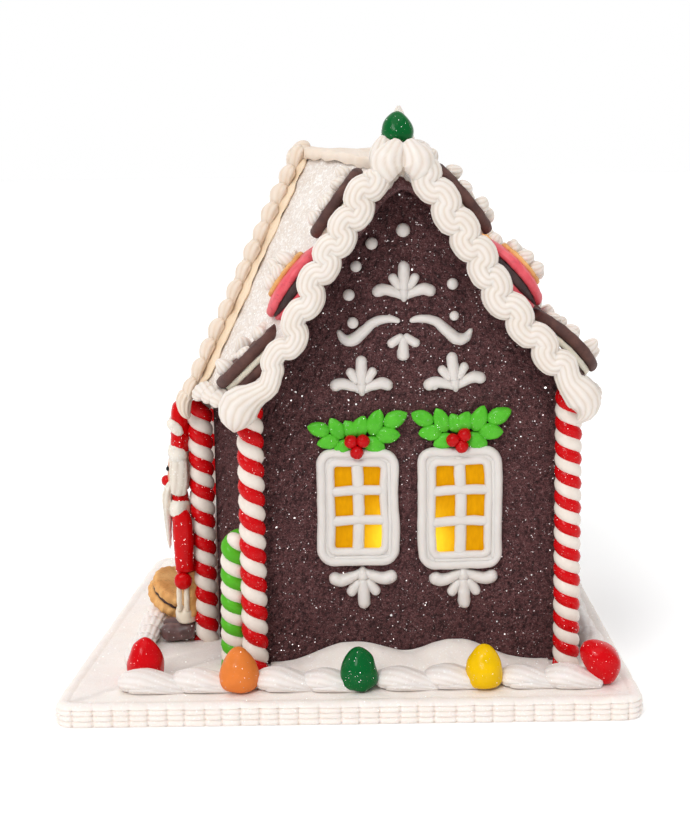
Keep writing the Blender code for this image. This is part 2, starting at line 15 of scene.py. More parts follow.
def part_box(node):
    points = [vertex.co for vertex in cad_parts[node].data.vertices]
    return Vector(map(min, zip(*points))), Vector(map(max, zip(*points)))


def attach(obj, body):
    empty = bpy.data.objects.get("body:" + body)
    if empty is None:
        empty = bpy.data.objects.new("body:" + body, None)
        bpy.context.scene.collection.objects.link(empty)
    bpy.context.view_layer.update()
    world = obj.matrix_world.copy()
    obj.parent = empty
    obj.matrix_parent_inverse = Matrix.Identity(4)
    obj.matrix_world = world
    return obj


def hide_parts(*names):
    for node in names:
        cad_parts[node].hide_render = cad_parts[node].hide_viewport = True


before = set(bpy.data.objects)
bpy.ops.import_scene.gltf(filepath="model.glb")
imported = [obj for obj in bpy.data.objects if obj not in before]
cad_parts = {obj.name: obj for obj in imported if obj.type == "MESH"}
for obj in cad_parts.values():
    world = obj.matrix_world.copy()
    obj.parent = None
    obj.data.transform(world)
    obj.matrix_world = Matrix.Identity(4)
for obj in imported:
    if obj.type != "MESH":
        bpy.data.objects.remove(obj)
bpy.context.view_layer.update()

MM = 0.001
TURN = 2 * math.pi


def box(node):
    """Lowest and highest corner of a node in millimetres."""
    low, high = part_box(node)
    return np.array(low) / MM, np.array(high) / MM


BOARD_LOW, BOARD_HIGH = box("board")
HOUSE_LOW, HOUSE_HIGH = box("house")
ROOF_LOW, ROOF_HIGH = box("roof")
BOARD_TOP = BOARD_HIGH[2]
WALL_Y = HOUSE_HIGH[1]
GABLE_Y = ROOF_HIGH[1]
RIDGE_Z = ROOF_HIGH[2]
TOP_Z = box("top_icing")[1][2]
EAVE_Z = 146.0
PEAK_X = 28.5
FRONT_PEAK = np.array([-20.0, 0.0, RIDGE_Z])
DOOR_CORNER = np.array([-75.5, -45.0, EAVE_Z])
SIDE_EAVE = np.array([-50.5, -GABLE_Y, EAVE_Z])
BACK_EAVE_X = ROOF_HIGH[0]
PEAK = np.array([PEAK_X, -GABLE_Y, RIDGE_Z])


# shapes

class Shape:
    """Points with quad and triangle faces, and one tint number for each point."""

    def __init__(self, points, quads=(), tris=(), tint=None):
        self.points = np.asarray(points, float).reshape(-1, 3)
        self.quads = np.asarray(quads, int).reshape(-1, 4)
        self.tris = np.asarray(tris, int).reshape(-1, 3)
        self.tint = np.zeros(len(self.points)) if tint is None else np.asarray(tint, float).ravel()

    def triangles(self):
        """All faces as triangles."""
        return np.vstack([self.quads[:, :3], self.quads[:, [0, 2, 3]], self.tris])

    def outward(self):
        """The same closed shape with its faces out."""
        a, b, c = (self.points[self.triangles()[:, k]] for k in range(3))
        if np.einsum("ij,ij->i", a, np.cross(b, c)).sum() < 0:
            self.quads = self.quads[:, ::-1]
            self.tris = self.tris[:, ::-1]
        return self

    def moved(self, change):
        """The shape with its points changed by a function of the point array."""
        return Shape(change(self.points), self.quads, self.tris, self.tint)

    def far(self):
        """The mirror image on the far side of the house."""
        return Shape(self.points * (1, -1, 1), self.quads[:, ::-1], self.tris[:, ::-1], self.tint)


def join(shapes):
    """Several shapes as one."""
    shapes = list(shapes)
    starts = np.cumsum([0] + [len(s.points) for s in shapes])
    return Shape(np.vstack([s.points for s in shapes]),
                 np.vstack([s.quads + k for s, k in zip(shapes, starts)]),
                 np.vstack([s.tris + k for s, k in zip(shapes, starts)]),
                 np.concatenate([s.tint for s in shapes]))


def both_sides(shape):
    """A shape and its mirror image on the far side."""
    return join([shape, shape.far()])


def unit(vectors):
    """Vectors scaled to length one."""
    vectors = np.asarray(vectors, float)
    return vectors / np.maximum(np.linalg.norm(vectors, axis=-1, keepdims=True), 1e-9)


def skin(rings, tint=None, loop=False):
    """Closed surface over rings of points; rings[i, k] is point k of ring i."""
    rings = np.asarray(rings, float)
    count, around = rings.shape[:2]
    index = np.arange(count * around).reshape(count, around)
    low, high = (index, np.roll(index, -1, 0)) if loop else (index[:-1], index[1:])
    quads = np.stack([low, np.roll(low, -1, 1), np.roll(high, -1, 1), high], -1)
    points = rings.reshape(-1, 3)
    tint = np.zeros(len(points)) if tint is None else np.asarray(tint, float).ravel()
    tris = []
    if not loop:
        for ring in (index[0][::-1], index[-1]):
            tris.append(np.stack([ring, np.roll(ring, -1), np.full(around, len(points))], -1))
            points = np.vstack([points, points[ring].mean(0)])
            tint = np.append(tint, tint[ring].mean())
    return Shape(points, quads, np.vstack(tris) if tris else (), tint).outward()


def smooth(rows, count, loop=False):
    """Catmull-Rom curve through the rows, as count samples."""
    rows = np.asarray(rows, float)
    if loop:
        padded = np.vstack([rows[-1], rows, rows[0], rows[1]])
        along = np.arange(count) * len(rows) / count
        first = along.astype(int)
    else:
        padded = np.vstack([2 * rows[0] - rows[1], rows, 2 * rows[-1] - rows[-2]])
        along = np.linspace(0, len(rows) - 1, count)
        first = np.minimum(along.astype(int), len(rows) - 2)
    f = (along - first)[:, None]
    a, b, c, d = (padded[first + k] for k in range(4))
    return 0.5 * (2 * b + (c - a) * f + (2 * a - 5 * b + 4 * c - d) * f ** 2
                  + (3 * b - a - 3 * c + d) * f ** 3)


def frames(path, up, loop=False):
    """Unit tangent, side and normal along a path."""
    ahead, behind = np.roll(path, -1, 0), np.roll(path, 1, 0)
    if not loop:
        ahead[-1], behind[0] = path[-1], path[0]
    tangent = unit(ahead - behind)
    side = unit(np.cross(tangent, up))
    return tangent, side, np.cross(side, tangent)


def piped(path, width, height, up, ridges=0, depth=0.0, sides=16, twist=0.0, loop=False):
    """Icing squeezed along a path through a star tip.

    width and height are half sizes, ridges and depth describe the star, and twist
    turns it by that many radians from end to end.
    """
    path = np.asarray(path, float)
    count = len(path)
    _, side, normal = frames(path, np.asarray(up, float), loop)
    angle = TURN * np.arange(sides) / sides
    turned = angle[None, :] + twist * np.linspace(0, 1, count)[:, None]
    crest = np.abs(np.sin(ridges * turned / 2)) if ridges else np.ones((count, sides))
    radius = 1 - depth * (1 - crest)
    wide = np.broadcast_to(width, count)[:, None] * radius * np.cos(angle)
    high = np.broadcast_to(height, count)[:, None] * radius * np.sin(angle)
    rings = path[:, None] + side[:, None] * wide[..., None] + normal[:, None] * high[..., None]
    # the tint is high in the star's grooves, where the icing looks paint shade
    return skin(rings, (1 - crest) ** 1.5, loop)


def tapered(count, head=0.12, tail=0.12):
    """Factors that round off both ends of a path."""
    u = np.linspace(0, 1, count)
    start = np.clip(1 - u / head, 0, 1) if head else 0 * u
    end = np.clip(1 - (1 - u) / tail, 0, 1) if tail else 0 * u
    return np.sqrt(np.maximum(1 - np.maximum(start, end) ** 2, 0.012))


def ripple(points, size, seed):
    """Smooth unevenness between about -1 and 1 with bumps about size mm across."""
    random = np.random.default_rng(seed)
    waves = unit(random.normal(size=(12, 3))) * TURN / size * random.uniform(0.5, 1.4, (12, 1))
    phase = random.uniform(0, TURN, 12)
    return np.sin(points @ waves.T + phase).sum(1) / 3.4


def normals(shape):
    """A unit normal for each point."""
    total = np.zeros_like(shape.points)
    corners = shape.triangles()
    a, b, c = (shape.points[corners[:, k]] for k in range(3))
    face = np.cross(b - a, c - a)
    for k in range(3):
        np.add.at(total, corners[:, k], face)
    return unit(total)


def uneven(shape, amount, size, seed):
    """The shape pushed in and out along its normals."""
    push = amount * ripple(shape.points, size, seed)
    return Shape(shape.points + normals(shape) * push[:, None], shape.quads, shape.tris, shape.tint)


def turned(profile, sides, centre, axis=(0, 0, 1), ridges=0, depth=0.0, twist=0.0, lean=(0, 0, 0)):
    """Turned solid from (radius, height) rows along an axis; lean shifts its tip sideways."""
    profile = np.asarray(profile, float)
    axis = unit(axis)
    first = unit(np.cross(axis, (0, 1, 0.01) if abs(axis[1]) < 0.9 else (1, 0, 0)))
    second = np.cross(axis, first)
    angle = TURN * np.arange(sides) / sides
    share = (profile[:, 1] - profile[0, 1]) / max(np.ptp(profile[:, 1]), 1e-9)
    spun = angle[None, :] + twist * share[:, None]
    crest = np.abs(np.sin(ridges * angle / 2)) if ridges else np.ones(sides)
    radius = profile[:, :1] * (1 - depth * (1 - crest))
    ring = (np.cos(spun)[..., None] * first + np.sin(spun)[..., None] * second) * radius[..., None]
    middle = np.asarray(centre, float) + profile[:, 1:] * axis + np.outer(share ** 2, lean)
    # the tint is high in the ridges' grooves, where the icing looks paint shade
    tint = np.broadcast_to((1 - crest) ** 1.5, spun.shape)
    return skin(ring + middle[:, None], tint)


def ball(centre, radius, sides=20, squash=(1, 1, 1)):
    """Round bead."""
    steps = np.linspace(0.04, math.pi - 0.04, sides // 2 + 2)
    profile = np.stack([np.sin(steps), -np.cos(steps)], -1)
    bead = turned(profile, sides, (0, 0, 0))
    return bead.moved(lambda p: p * radius * np.array(squash) + np.array(centre))


def flakes(shapes, density, size, seed, keep=None, lift=0.1):
    """Glitter flakes scattered over shapes; density is flakes per square mm."""
    random = np.random.default_rng(seed)
    whole = join(shapes)
    corners = whole.points[whole.triangles()]
    face = np.cross(corners[:, 1] - corners[:, 0], corners[:, 2] - corners[:, 0])
    area = np.linalg.norm(face, axis=1) / 2
    if keep is not None:
        area = area * keep(corners.mean(1), unit(face))
    count = int(area.sum() * density)
    chosen = random.choice(len(area), count, p=area / area.sum())
    weights = random.dirichlet((1, 1, 1), count)
    normal = unit(face[chosen])
    spot = np.einsum("ik,ikj->ij", weights, corners[chosen]) + normal * lift
    tilt = unit(normal + 0.45 * random.normal(size=(count, 3)))
    first = unit(np.cross(tilt, random.normal(size=(count, 3))))
    second = np.cross(tilt, first)
    radius = size * random.uniform(0.55, 1.3, (count, 1)) / 2
    angle = TURN * np.arange(6) / 6
    points = (spot[:, None] + radius[:, None] * (np.cos(angle)[None, :, None] * first[:, None]
                                                 + np.sin(angle)[None, :, None] * second[:, None]))
    start = np.arange(count)[:, None] * 6
    quads = np.vstack([start + [0, 1, 2, 3], start + [0, 3, 4, 5]])
    return Shape(points, quads, (), np.repeat(random.uniform(0, 1, count), 6))


def piece(name, shape, look, slot, *nodes):
    """Make a shape an object of the scene that stands for the given nodes."""
    mesh = bpy.data.meshes.new(name)
    loops = np.concatenate([shape.quads.ravel(), shape.tris.ravel()])
    four, three = len(shape.quads), len(shape.tris)
    starts = np.concatenate([4 * np.arange(four), 4 * four + 3 * np.arange(three)])
    mesh.vertices.add(len(shape.points))
    mesh.vertices.foreach_set("co", (shape.points * MM).ravel().astype(np.float32))
    mesh.loops.add(len(loops))
    mesh.loops.foreach_set("vertex_index", loops.astype(np.int32))
    mesh.polygons.add(four + three)
    mesh.polygons.foreach_set("loop_start", starts.astype(np.int32))
    mesh.attributes.new("tint", "FLOAT", "POINT").data.foreach_set("value", shape.tint.astype(np.float32))
    mesh.update(calc_edges=True)
    mesh.shade_smooth()
    mesh.set_sharp_from_angle(angle=math.radians(60))
    mesh.materials.append(look)
    thing = bpy.data.objects.new(name, mesh)
    bpy.context.scene.collection.objects.link(thing)
    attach(thing, "root")
    if nodes:
        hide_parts(*nodes)
    return thing


# materials

class Recipe:
    """A Principled material being put together from procedural nodes."""

    def __init__(self, name, rough):
        self.material = bpy.data.materials.new(name)
        self.material.use_nodes = True
        self.nodes = self.material.node_tree.nodes
        self.links = self.material.node_tree.links
        self.shader = self.nodes["Principled BSDF"]
        self.shader.inputs["Roughness"].default_value = rough
        self.coordinates = self.nodes.new("ShaderNodeTexCoord").outputs["Object"]

    def feed(self, socket, value):
        """Link a node's output to a socket, or set the socket."""
        if isinstance(value, bpy.types.NodeSocket):
            self.links.new(value, socket)
        elif hasattr(value, "__len__") and len(value) == 3 and socket.type == "RGBA":
            socket.default_value = (*value, 1)
        else:
            socket.default_value = value

    def noise(self, size, detail=2.0, stretch=(1, 1, 1), roughness=0.5):
        """Noise with features about size mm across."""
        scaled = self.nodes.new("ShaderNodeVectorMath")
        scaled.operation = "MULTIPLY"
        self.links.new(self.coordinates, scaled.inputs[0])
        scaled.inputs[1].default_value = [1 / (size * MM * s) for s in stretch]
        node = self.nodes.new("ShaderNodeTexNoise")
        node.inputs["Scale"].default_value = 1.0
        node.inputs["Detail"].default_value = detail
        node.inputs["Roughness"].default_value = roughness
        self.links.new(scaled.outputs[0], node.inputs["Vector"])
        return node.outputs["Fac"]

    def cells(self, size, output="Distance"):
        """Voronoi cells about size mm across."""
        node = self.nodes.new("ShaderNodeTexVoronoi")
        node.inputs["Scale"].default_value = 1 / (size * MM)
        self.links.new(self.coordinates, node.inputs["Vector"])
        return node.outputs[output]

    def tint(self):
        """The number stored with each point of the mesh."""
        node = self.nodes.new("ShaderNodeAttribute")
        node.attribute_name = "tint"
        return node.outputs["Fac"]

    def ramp(self, value, *stops):
        """Numbers along a ramp: stops are (position, number) or (position, colour)."""
        node = self.nodes.new("ShaderNodeValToRGB")
        bands = node.color_ramp.elements
        while len(bands) < len(stops):
            bands.new(0.5)
        for band, (position, colour) in zip(bands, stops):
            band.position = position
            band.color = (*colour, 1) if hasattr(colour, "__len__") else (colour, colour, colour, 1)
        self.links.new(value, node.inputs["Fac"])
        return node.outputs["Color"]

    def maths(self, operation, first, second):
        """A maths node on two values."""
        node = self.nodes.new("ShaderNodeMath")
        node.operation = operation
        self.feed(node.inputs[0], first)
        self.feed(node.inputs[1], second)
        return node.outputs[0]

    def mix(self, share, first, second, blend="MIX"):
        """Mix two colours."""
        node = self.nodes.new("ShaderNodeMix")
        node.data_type = "RGBA"
        node.blend_type = blend
        self.feed(node.inputs["Factor"], share)
        self.feed(node.inputs[6], first)
        self.feed(node.inputs[7], second)
        return node.outputs[2]

    def bump(self, height, strength, distance, under=None):
        """Relief from a height value, in mm, on top of other relief."""
        node = self.nodes.new("ShaderNodeBump")
        node.inputs["Strength"].default_value = strength
        node.inputs["Distance"].default_value = distance * MM
        self.feed(node.inputs["Height"], height)
        if under is not None:
            self.links.new(under, node.inputs["Normal"])
        self.links.new(node.outputs["Normal"], self.shader.inputs["Normal"])
        return node.outputs["Normal"]

    def colour(self, value):
        """Set the base colour."""
        self.feed(self.shader.inputs["Base Color"], value)
        return self

    def set(self, **values):
        """Set shader inputs; an underscore stands for a space."""
        for name, value in values.items():
            self.feed(self.shader.inputs[name.replace("_", " ")], value)
        return self


def srgb(red, green, blue):
    """Linear colour from 0-255 display values."""
    return tuple((c / 255 / 12.92) if c <= 10 else ((c / 255 + 0.055) / 1.055) ** 2.4
                 for c in (red, green, blue))


def soft(recipe, weight=0.12, depth=2.5):
    """Let light sink a little way into a clay or sugar surface."""
    recipe.set(Subsurface_Weight=weight, Subsurface_Scale=depth * MM)
    recipe.shader.inputs["Subsurface Radius"].default_value = (1.0, 0.6, 0.4)


def icing_look(name, light, shade, rough=0.5, sparkle=0.0, relief=0.25):
    """Off-white icing: painted shade makes its grooves warm and darker; finely uneven, glittering if wanted."""
    recipe = Recipe(name, rough)
    recipe.set(Specular_IOR_Level=0.4)
    patches = recipe.ramp(recipe.noise(9, 3), (0.3, 0.0), (0.75, 0.22))
    # painted shade: where the tint is high, in piped grooves, the colour moves towards shade; random patches add some
    # warmth too
    groove = recipe.maths("ADD", recipe.maths("MULTIPLY", recipe.tint(), 0.5), patches)
    base = recipe.mix(recipe.maths("MINIMUM", groove, 1.0), light, shade)
    under = recipe.bump(recipe.noise(2.5, 3), relief, 0.3)
    under = recipe.bump(recipe.noise(0.5, 2), relief, 0.12, under)
    if sparkle:
        grains = recipe.cells(0.55)
        under = recipe.bump(grains, sparkle, 0.2, under)
        flecks = recipe.ramp(recipe.cells(0.7, "Color"), (0.80, 0.0), (0.86, 1.0))
        base = recipe.mix(recipe.maths("MULTIPLY", flecks, 0.45), base, (1.0, 0.99, 0.97))
        recipe.set(Roughness=recipe.ramp(grains, (0.2, 0.25), (0.7, 0.65)))
    recipe.colour(base)
    soft(recipe)
    return recipe.material


def gingerbread_body(recipe):
    """Colour and pores of dark purple-brown gingerbread."""
    broad = recipe.noise(16, 4)
    crumb = recipe.noise(1.3, 6, stretch=(1.3, 1.3, 0.9), roughness=0.75)
    pores = recipe.maths("MULTIPLY", recipe.ramp(recipe.cells(1.1), (0.10, 1.0), (0.34, 0.0)),
                         recipe.ramp(recipe.noise(2.2, 2), (0.42, 0.0), (0.52, 1.0)))
    body = recipe.mix(recipe.ramp(broad, (0.3, 0.0), (0.7, 1.0)), srgb(86, 50, 51), srgb(100, 61, 62))
    # the crumb is also the relief: painted shade darkens its hollows and painted light brightens its tops
    body = recipe.mix(recipe.ramp(crumb, (0.38, 0.8), (0.5, 0.0)), body, srgb(46, 24, 27))
    body = recipe.mix(recipe.ramp(crumb, (0.52, 0.0), (0.68, 0.55)), body, srgb(140, 96, 96))
    grain = recipe.ramp(recipe.noise(0.6, 1), (0.58, 0.0), (0.68, 1.0))
    body = recipe.mix(recipe.maths("MULTIPLY", grain, 0.38), body, srgb(176, 140, 140))
    # the pores are dents in the relief, painted near black: painted shade
    body = recipe.mix(recipe.maths("MULTIPLY", pores, 0.9), body, srgb(24, 12, 14))
    return body, crumb, pores


def gingerbread_look():
    """Gingerbread walls with sugar grains."""
    recipe = Recipe("gingerbread_look", 0.6)
    recipe.set(Specular_IOR_Level=0.25)
    body, crumb, pores = gingerbread_body(recipe)
    # the tint marks the walls' pits: painted shade darkens them
    recipe.colour(recipe.mix(recipe.maths("MULTIPLY", recipe.tint(), 0.6), body, srgb(34, 18, 20)))
    under = recipe.bump(crumb, 1.0, 1.5)
    under = recipe.bump(recipe.maths("MULTIPLY", pores, -1.0), 1.0, 0.8, under)
    recipe.bump(recipe.noise(0.5, 2), 0.5, 0.25, under)
    return recipe.material


def roof_look():
    """Coarse glittering white icing; where the tint is one it is the gingerbread under it."""
    recipe = Recipe("roof_look", 0.45)
    recipe.set(Specular_IOR_Level=0.35)
    body, crumb, _ = gingerbread_body(recipe)
    patches = recipe.ramp(recipe.noise(7, 4), (0.3, 0.0), (0.75, 1.0))
    icing = recipe.mix(patches, srgb(236, 228, 221), srgb(224, 211, 199))
    grains = recipe.cells(1.0, "Color")
    icing = recipe.mix(recipe.ramp(grains, (0.1, 0.4), (0.45, 0.0)), icing, srgb(212, 204, 202))
    icing = recipe.mix(recipe.ramp(grains, (0.60, 0.0), (0.80, 0.6)), icing, (1.0, 0.99, 0.98))
    edge = recipe.maths("ADD", recipe.tint(), recipe.maths("MULTIPLY", recipe.noise(2.5, 3), 0.5))
    edge = recipe.ramp(edge, (0.66, 0.0), (0.78, 1.0))
    recipe.colour(recipe.mix(edge, icing, body))
    recipe.set(Roughness=recipe.ramp(recipe.cells(1.3), (0.2, 0.25), (0.7, 0.7)))
    under = recipe.bump(recipe.noise(2.5, 3), 0.4, 0.5)
    under = recipe.bump(recipe.cells(1.3), 0.5, 0.35, under)
    recipe.bump(crumb, 0.35, 0.4, under)
    return recipe.material


def candy_look(name, body, rough=0.22, dust=0.0, deep=None, relief=0.05):
    """Glossy coloured clay with a faint sugar dust."""
    recipe = Recipe(name, rough)
    recipe.set(Specular_IOR_Level=0.1, Coat_Weight=0.1, Coat_Roughness=0.08)
    patches = recipe.ramp(recipe.noise(6, 3), (0.35, 0.0), (0.7, 1.0))
    base = recipe.mix(recipe.maths("MULTIPLY", patches, 0.35), body, deep or tuple(0.7 * c for c in body))
    if dust:
        specks = recipe.ramp(recipe.noise(0.6, 1), (0.70, 0.0), (0.77, 1.0))
        base = recipe.mix(recipe.maths("MULTIPLY", specks, dust), base, srgb(250, 225, 215))
    recipe.colour(base)
    under = recipe.bump(recipe.noise(3.5, 2), relief * 2, 0.4)
    recipe.bump(recipe.noise(0.8, 2), relief * 3, 0.1, under)
    return recipe.material


def baked_look(name, light, dark, size=1.4, relief=0.6, rough=0.7):
    """Baked dough: crumbly relief, browned in patches."""
    recipe = Recipe(name, rough)
    crumb = recipe.noise(size, 5, roughness=0.65)
    patches = recipe.noise(7, 3)
    base = recipe.mix(recipe.ramp(patches, (0.35, 0.0), (0.65, 1.0)), light, dark)
    # painted shade: darker where the crumb relief is low
    base = recipe.mix(recipe.ramp(crumb, (0.30, 0.5), (0.46, 0.0)), base, tuple(0.5 * c for c in dark))
    recipe.colour(base)
    recipe.bump(crumb, relief, 0.5)
    return recipe.material


def flake_look(name, colour, metal, glow):
    """Glitter flakes that seem to catch the light: their emission is painted glints, strongest where the tint is high.
    """
    recipe = Recipe(name, 0.25)
    recipe.set(Metallic=metal)
    bright = recipe.ramp(recipe.tint(), (0.0, tuple(0.8 * c for c in colour)), (0.8, colour))
    recipe.colour(bright)
    recipe.set(Emission_Color=bright)
    recipe.set(Emission_Strength=recipe.ramp(recipe.tint(), (0.4, 0.05 * glow), (1.0, glow)))
    return recipe.material


def pane_look():
    """Amber window plastic that glows brightest next to the place of a lamp inside the house: the glow is painted lamp
    light, as no lamp is built there.
    """
    recipe = Recipe("pane_look", 0.5)
    recipe.set(Specular_IOR_Level=0.05)
    streaks = recipe.noise(3, 4, stretch=(0.6, 1, 1.6))
    recipe.colour(recipe.mix(streaks, srgb(170, 112, 0), srgb(200, 146, 0)))
    glow = recipe.mix(recipe.tint(), srgb(226, 152, 0), srgb(255, 240, 62))
    recipe.set(Emission_Color=glow)
    strength = recipe.maths("ADD", recipe.ramp(recipe.tint(), (0.0, 0.3), (1.0, 0.85)),
                            recipe.maths("MULTIPLY", streaks, 0.12))
    recipe.set(Emission_Strength=strength)
    recipe.bump(recipe.noise(0.8, 2), 0.15, 0.1)
    return recipe.material


WHITE = srgb(237, 229, 222)
# SHADE is painted shade: the warm colour the icing takes in its grooves
SHADE = srgb(210, 190, 168)
LOOKS = {
    "board": icing_look("board_look", srgb(246, 238, 232), srgb(231, 217, 206), 0.5, 0.25),
    "snow": icing_look("snow_look", srgb(244, 236, 229), srgb(228, 214, 204), 0.5, 0.35),
    "roof": roof_look(),
    "icing": icing_look("icing_look", WHITE, SHADE, 0.42),
    # a warmer, darker copy of the icing's colours: painted shade on the hip ropes and the top sheet
    "hip": icing_look("hip_look", srgb(234, 219, 204), srgb(212, 182, 150), 0.45),
    # the tan band beside the hip ropes: a painted shadow on the roof along their inner side
    "hip_shadow_band": icing_look("hip_shadow_band_look", srgb(238, 216, 188), srgb(224, 194, 158), 0.5),
    "border": icing_look("border_look", srgb(240, 233, 229), srgb(222, 208, 198), 0.42, 0.12),
    "line": icing_look("line_look", srgb(224, 218, 213), srgb(198, 188, 180), 0.36, relief=0.12),
    "cream": icing_look("cream_look", srgb(232, 224, 206), srgb(190, 176, 150), 0.45),
    "ivory": icing_look("ivory_look", srgb(236, 224, 204), srgb(206, 178, 146), 0.4),
    "fur": icing_look("fur_look", srgb(236, 228, 216), srgb(190, 170, 150), 0.5, 0.2, 0.6),
    "gingerbread": gingerbread_look(),
    "red": candy_look("red_look", srgb(208, 8, 16), dust=0.35),
    "white_candy": candy_look("white_candy_look", srgb(238, 228, 218), 0.25, deep=srgb(220, 204, 190)),
    "green_candy": candy_look("green_candy_look", srgb(88, 180, 40), 0.35),
    "leaf": candy_look("leaf_look", srgb(90, 192, 50), 0.24, 0.3, srgb(50, 150, 28), 0.1),
    "berry": candy_look("berry_look", srgb(196, 12, 18), 0.2, 0.2),
    "gumdrop_red": candy_look("gumdrop_red_look", srgb(210, 2, 14), 0.18, 0.15),
    "gumdrop_orange": candy_look("gumdrop_orange_look", srgb(230, 128, 56), 0.35, 0.1),
    "gumdrop_green": candy_look("gumdrop_green_look", srgb(2, 96, 42), 0.16, 0.15),
    "gumdrop_yellow": candy_look("gumdrop_yellow_look", srgb(240, 192, 0), 0.2, 0.06),
    "coat": candy_look("coat_look", srgb(206, 4, 10), 0.22, 0.12, srgb(178, 2, 6)),
    "black": candy_look("black_look", srgb(18, 16, 18), 0.12),
    "wafer": baked_look("wafer_look", srgb(96, 60, 52), srgb(70, 40, 36), 1.2, 0.5),
    "filling": baked_look("filling_look", srgb(72, 46, 46), srgb(52, 30, 32), 0.9, 0.9, 0.4),
    "pink": baked_look("pink_look", srgb(236, 96, 106), srgb(222, 74, 88), 3.0, 0.15, 0.45),
    "tan": baked_look("tan_look", srgb(238, 186, 118), srgb(218, 156, 86), 1.3, 0.4),
    "boot": baked_look("boot_look", srgb(112, 80, 78), srgb(78, 54, 52), 1.0, 0.5, 0.35),
    "door": baked_look("door_look", srgb(112, 66, 46), srgb(84, 46, 32), 2.0, 0.4),
    "pane": pane_look(),
    "glitter": flake_look("glitter_look", (1.0, 0.98, 0.96), 0.5, 1.5),
    "snow_glitter": flake_look("snow_glitter_look", (1.0, 0.99, 0.98), 0.0, 0.5),
    "dark_glitter": flake_look("dark_glitter_look", (0.85, 0.76, 0.76), 0.3, 0.8),
}


# board and snow

def edge_outline(node, places):
    """Points at the given distances along the edge of a node's underside, and the edge's length."""
    points = np.array([v.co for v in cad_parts[node].data.vertices]) / MM
    points = np.unique(points[points[:, 2] < points[:, 2].min() + 0.05][:, :2].round(3), axis=0)
    middle = points.mean(0)
    points = points[np.argsort(np.arctan2(*(points - middle).T[::-1]))]
    closed = np.vstack([points, points[:1]])
    run = np.concatenate([[0], np.cumsum(np.linalg.norm(np.diff(closed, axis=0), axis=1))])
    near = (np.asarray(places)[:, None] + np.linspace(-1.5, 1.5, 7)) % run[-1]
    return np.stack([np.interp(near, run, closed[:, k]).mean(1) for k in range(2)], -1), run[-1]


def make_board():
    """Icing board with a pillowed edge and three rows of pinched ridges round its side."""
    length = edge_outline("board", [0])[1]
    random = np.random.default_rng(3)
    marks = np.cumsum(random.uniform(7.6, 10.6, 140))
    marks = marks[marks < length - 4]
    along = np.concatenate([marks + k for k in (-1.1, -0.55, -0.2, 0.2, 0.55, 1.1)]
                           + [marks[:-1] + np.diff(marks) * k for k in (0.3, 0.5, 0.7)])
    along = np.sort(np.concatenate([along, [marks[-1] + 2.5, marks[0] / 2]]))
    line, _ = edge_outline("board", along)
    tangent = unit(np.roll(line, -1, 0) - np.roll(line, 1, 0))
    inward = np.stack([-tangent[:, 1], tangent[:, 0]], -1)
    nearest = np.abs(along[:, None] - marks).min(1)
    notch = 0.95 * np.exp(-((nearest / 0.6) ** 2)) + 0.3 * np.exp(-nearest / 1.6)
    # the third number of each row is painted shade: along the bottom, in the grooves of the side and in the groove
    # along the top's edge
    rows = [(1.2 + 0 * along, 0 * along, 0.4)]
    for z in np.linspace(0.4, 8.2, 19):
        row = (z - 0.4) / 2.6
        groove = 1 - np.abs(math.sin(math.pi * row)) ** 0.6
        wobble = 0.12 * np.sin(along * 0.7 + 2.1 * int(min(row, 2.9)))
        rows.append((0.85 * groove + notch + wobble + 0.15, z + 0 * along, 0.5 * groove))
    for inset, z, shade in ((0.5, 8.9, 0), (1.2, 9.9, 0), (2.4, 10.6, 0), (3.8, 10.95, 0), (5.6, 10.95, 0.2),
                            (6.6, 10.5, 0.8), (7.6, 10.9, 0.3), (9.0, 11.0, 0), (12, 11.0, 0), (16, 11.0, 0),
                            (21, 11.0, 0), (27, 11.0, 0), (34, 11.0, 0), (42, 11.0, 0), (60, 11.0, 0)):
        rows.append((inset + 0.4 * notch * (inset < 3), z + 0 * along, shade))
    rings = []
    tints = []
    for inset, z, shade in rows:
        shrink = 1 - np.clip((inset - 12) / 140, 0, 1)
        ring = (line + inward * np.minimum(inset, 12)[:, None]) * shrink[:, None]
        rings.append(np.column_stack([ring, z]))
        # the pinched notches of the side get painted shade too
        tints.append(shade + (0.5 * notch if z[0] < 8.5 else 0 * notch))
    shape = skin(np.array(rings), np.array(tints))
    lift = ripple(shape.points, 16, 5) * 0.22 + ripple(shape.points, 6, 6) * 0.1
    shape.points[:, 2] += np.where(shape.points[:, 2] > 8.8, lift - 0.2, 0)
    shape.points[:, 2] = np.clip(shape.points[:, 2], 0, BOARD_TOP + 0.25)
    piece("board_icing", shape, LOOKS["board"], "board", "board")
    return shape


def drift_height(x):
    """Height of the snow that leans on the gable wall."""
    return (0.9 + 10.4 * np.exp(-(np.abs((x - 3) / 23) ** 2.4))
            + 11.2 * np.exp(-(np.abs((x - 54) / 22) ** 2.2)))


def make_drifts():
    """Snow against both gable walls."""
    low, high = box("drift_near")
    across = np.linspace(low[0], high[0], 90)
    out = np.linspace(0, 1, 22)
    depth = high[1] - low[1]
    fall = 0.5 + 0.5 * np.cos(math.pi * np.clip(out * 1.02, 0, 1) ** 1.15)
    rings = []
    for x in across:
        height = drift_height(x) + 0.4
        top = np.column_stack([np.full(22, x), high[1] - depth * out, low[2] - 0.6 + height * fall])
        base = np.column_stack([[x, x], [low[1], high[1]], [low[2] - 0.8] * 2])
        rings.append(np.vstack([top, base]))
    shape = uneven(skin(rings), 0.25, 9, 11)
    piece("snow_drift_near", shape, LOOKS["snow"], "snow", "drift_near")
    piece("snow_drift_far", shape.far(), LOOKS["snow"], "snow", "drift_far")
    return [shape, shape.far()]


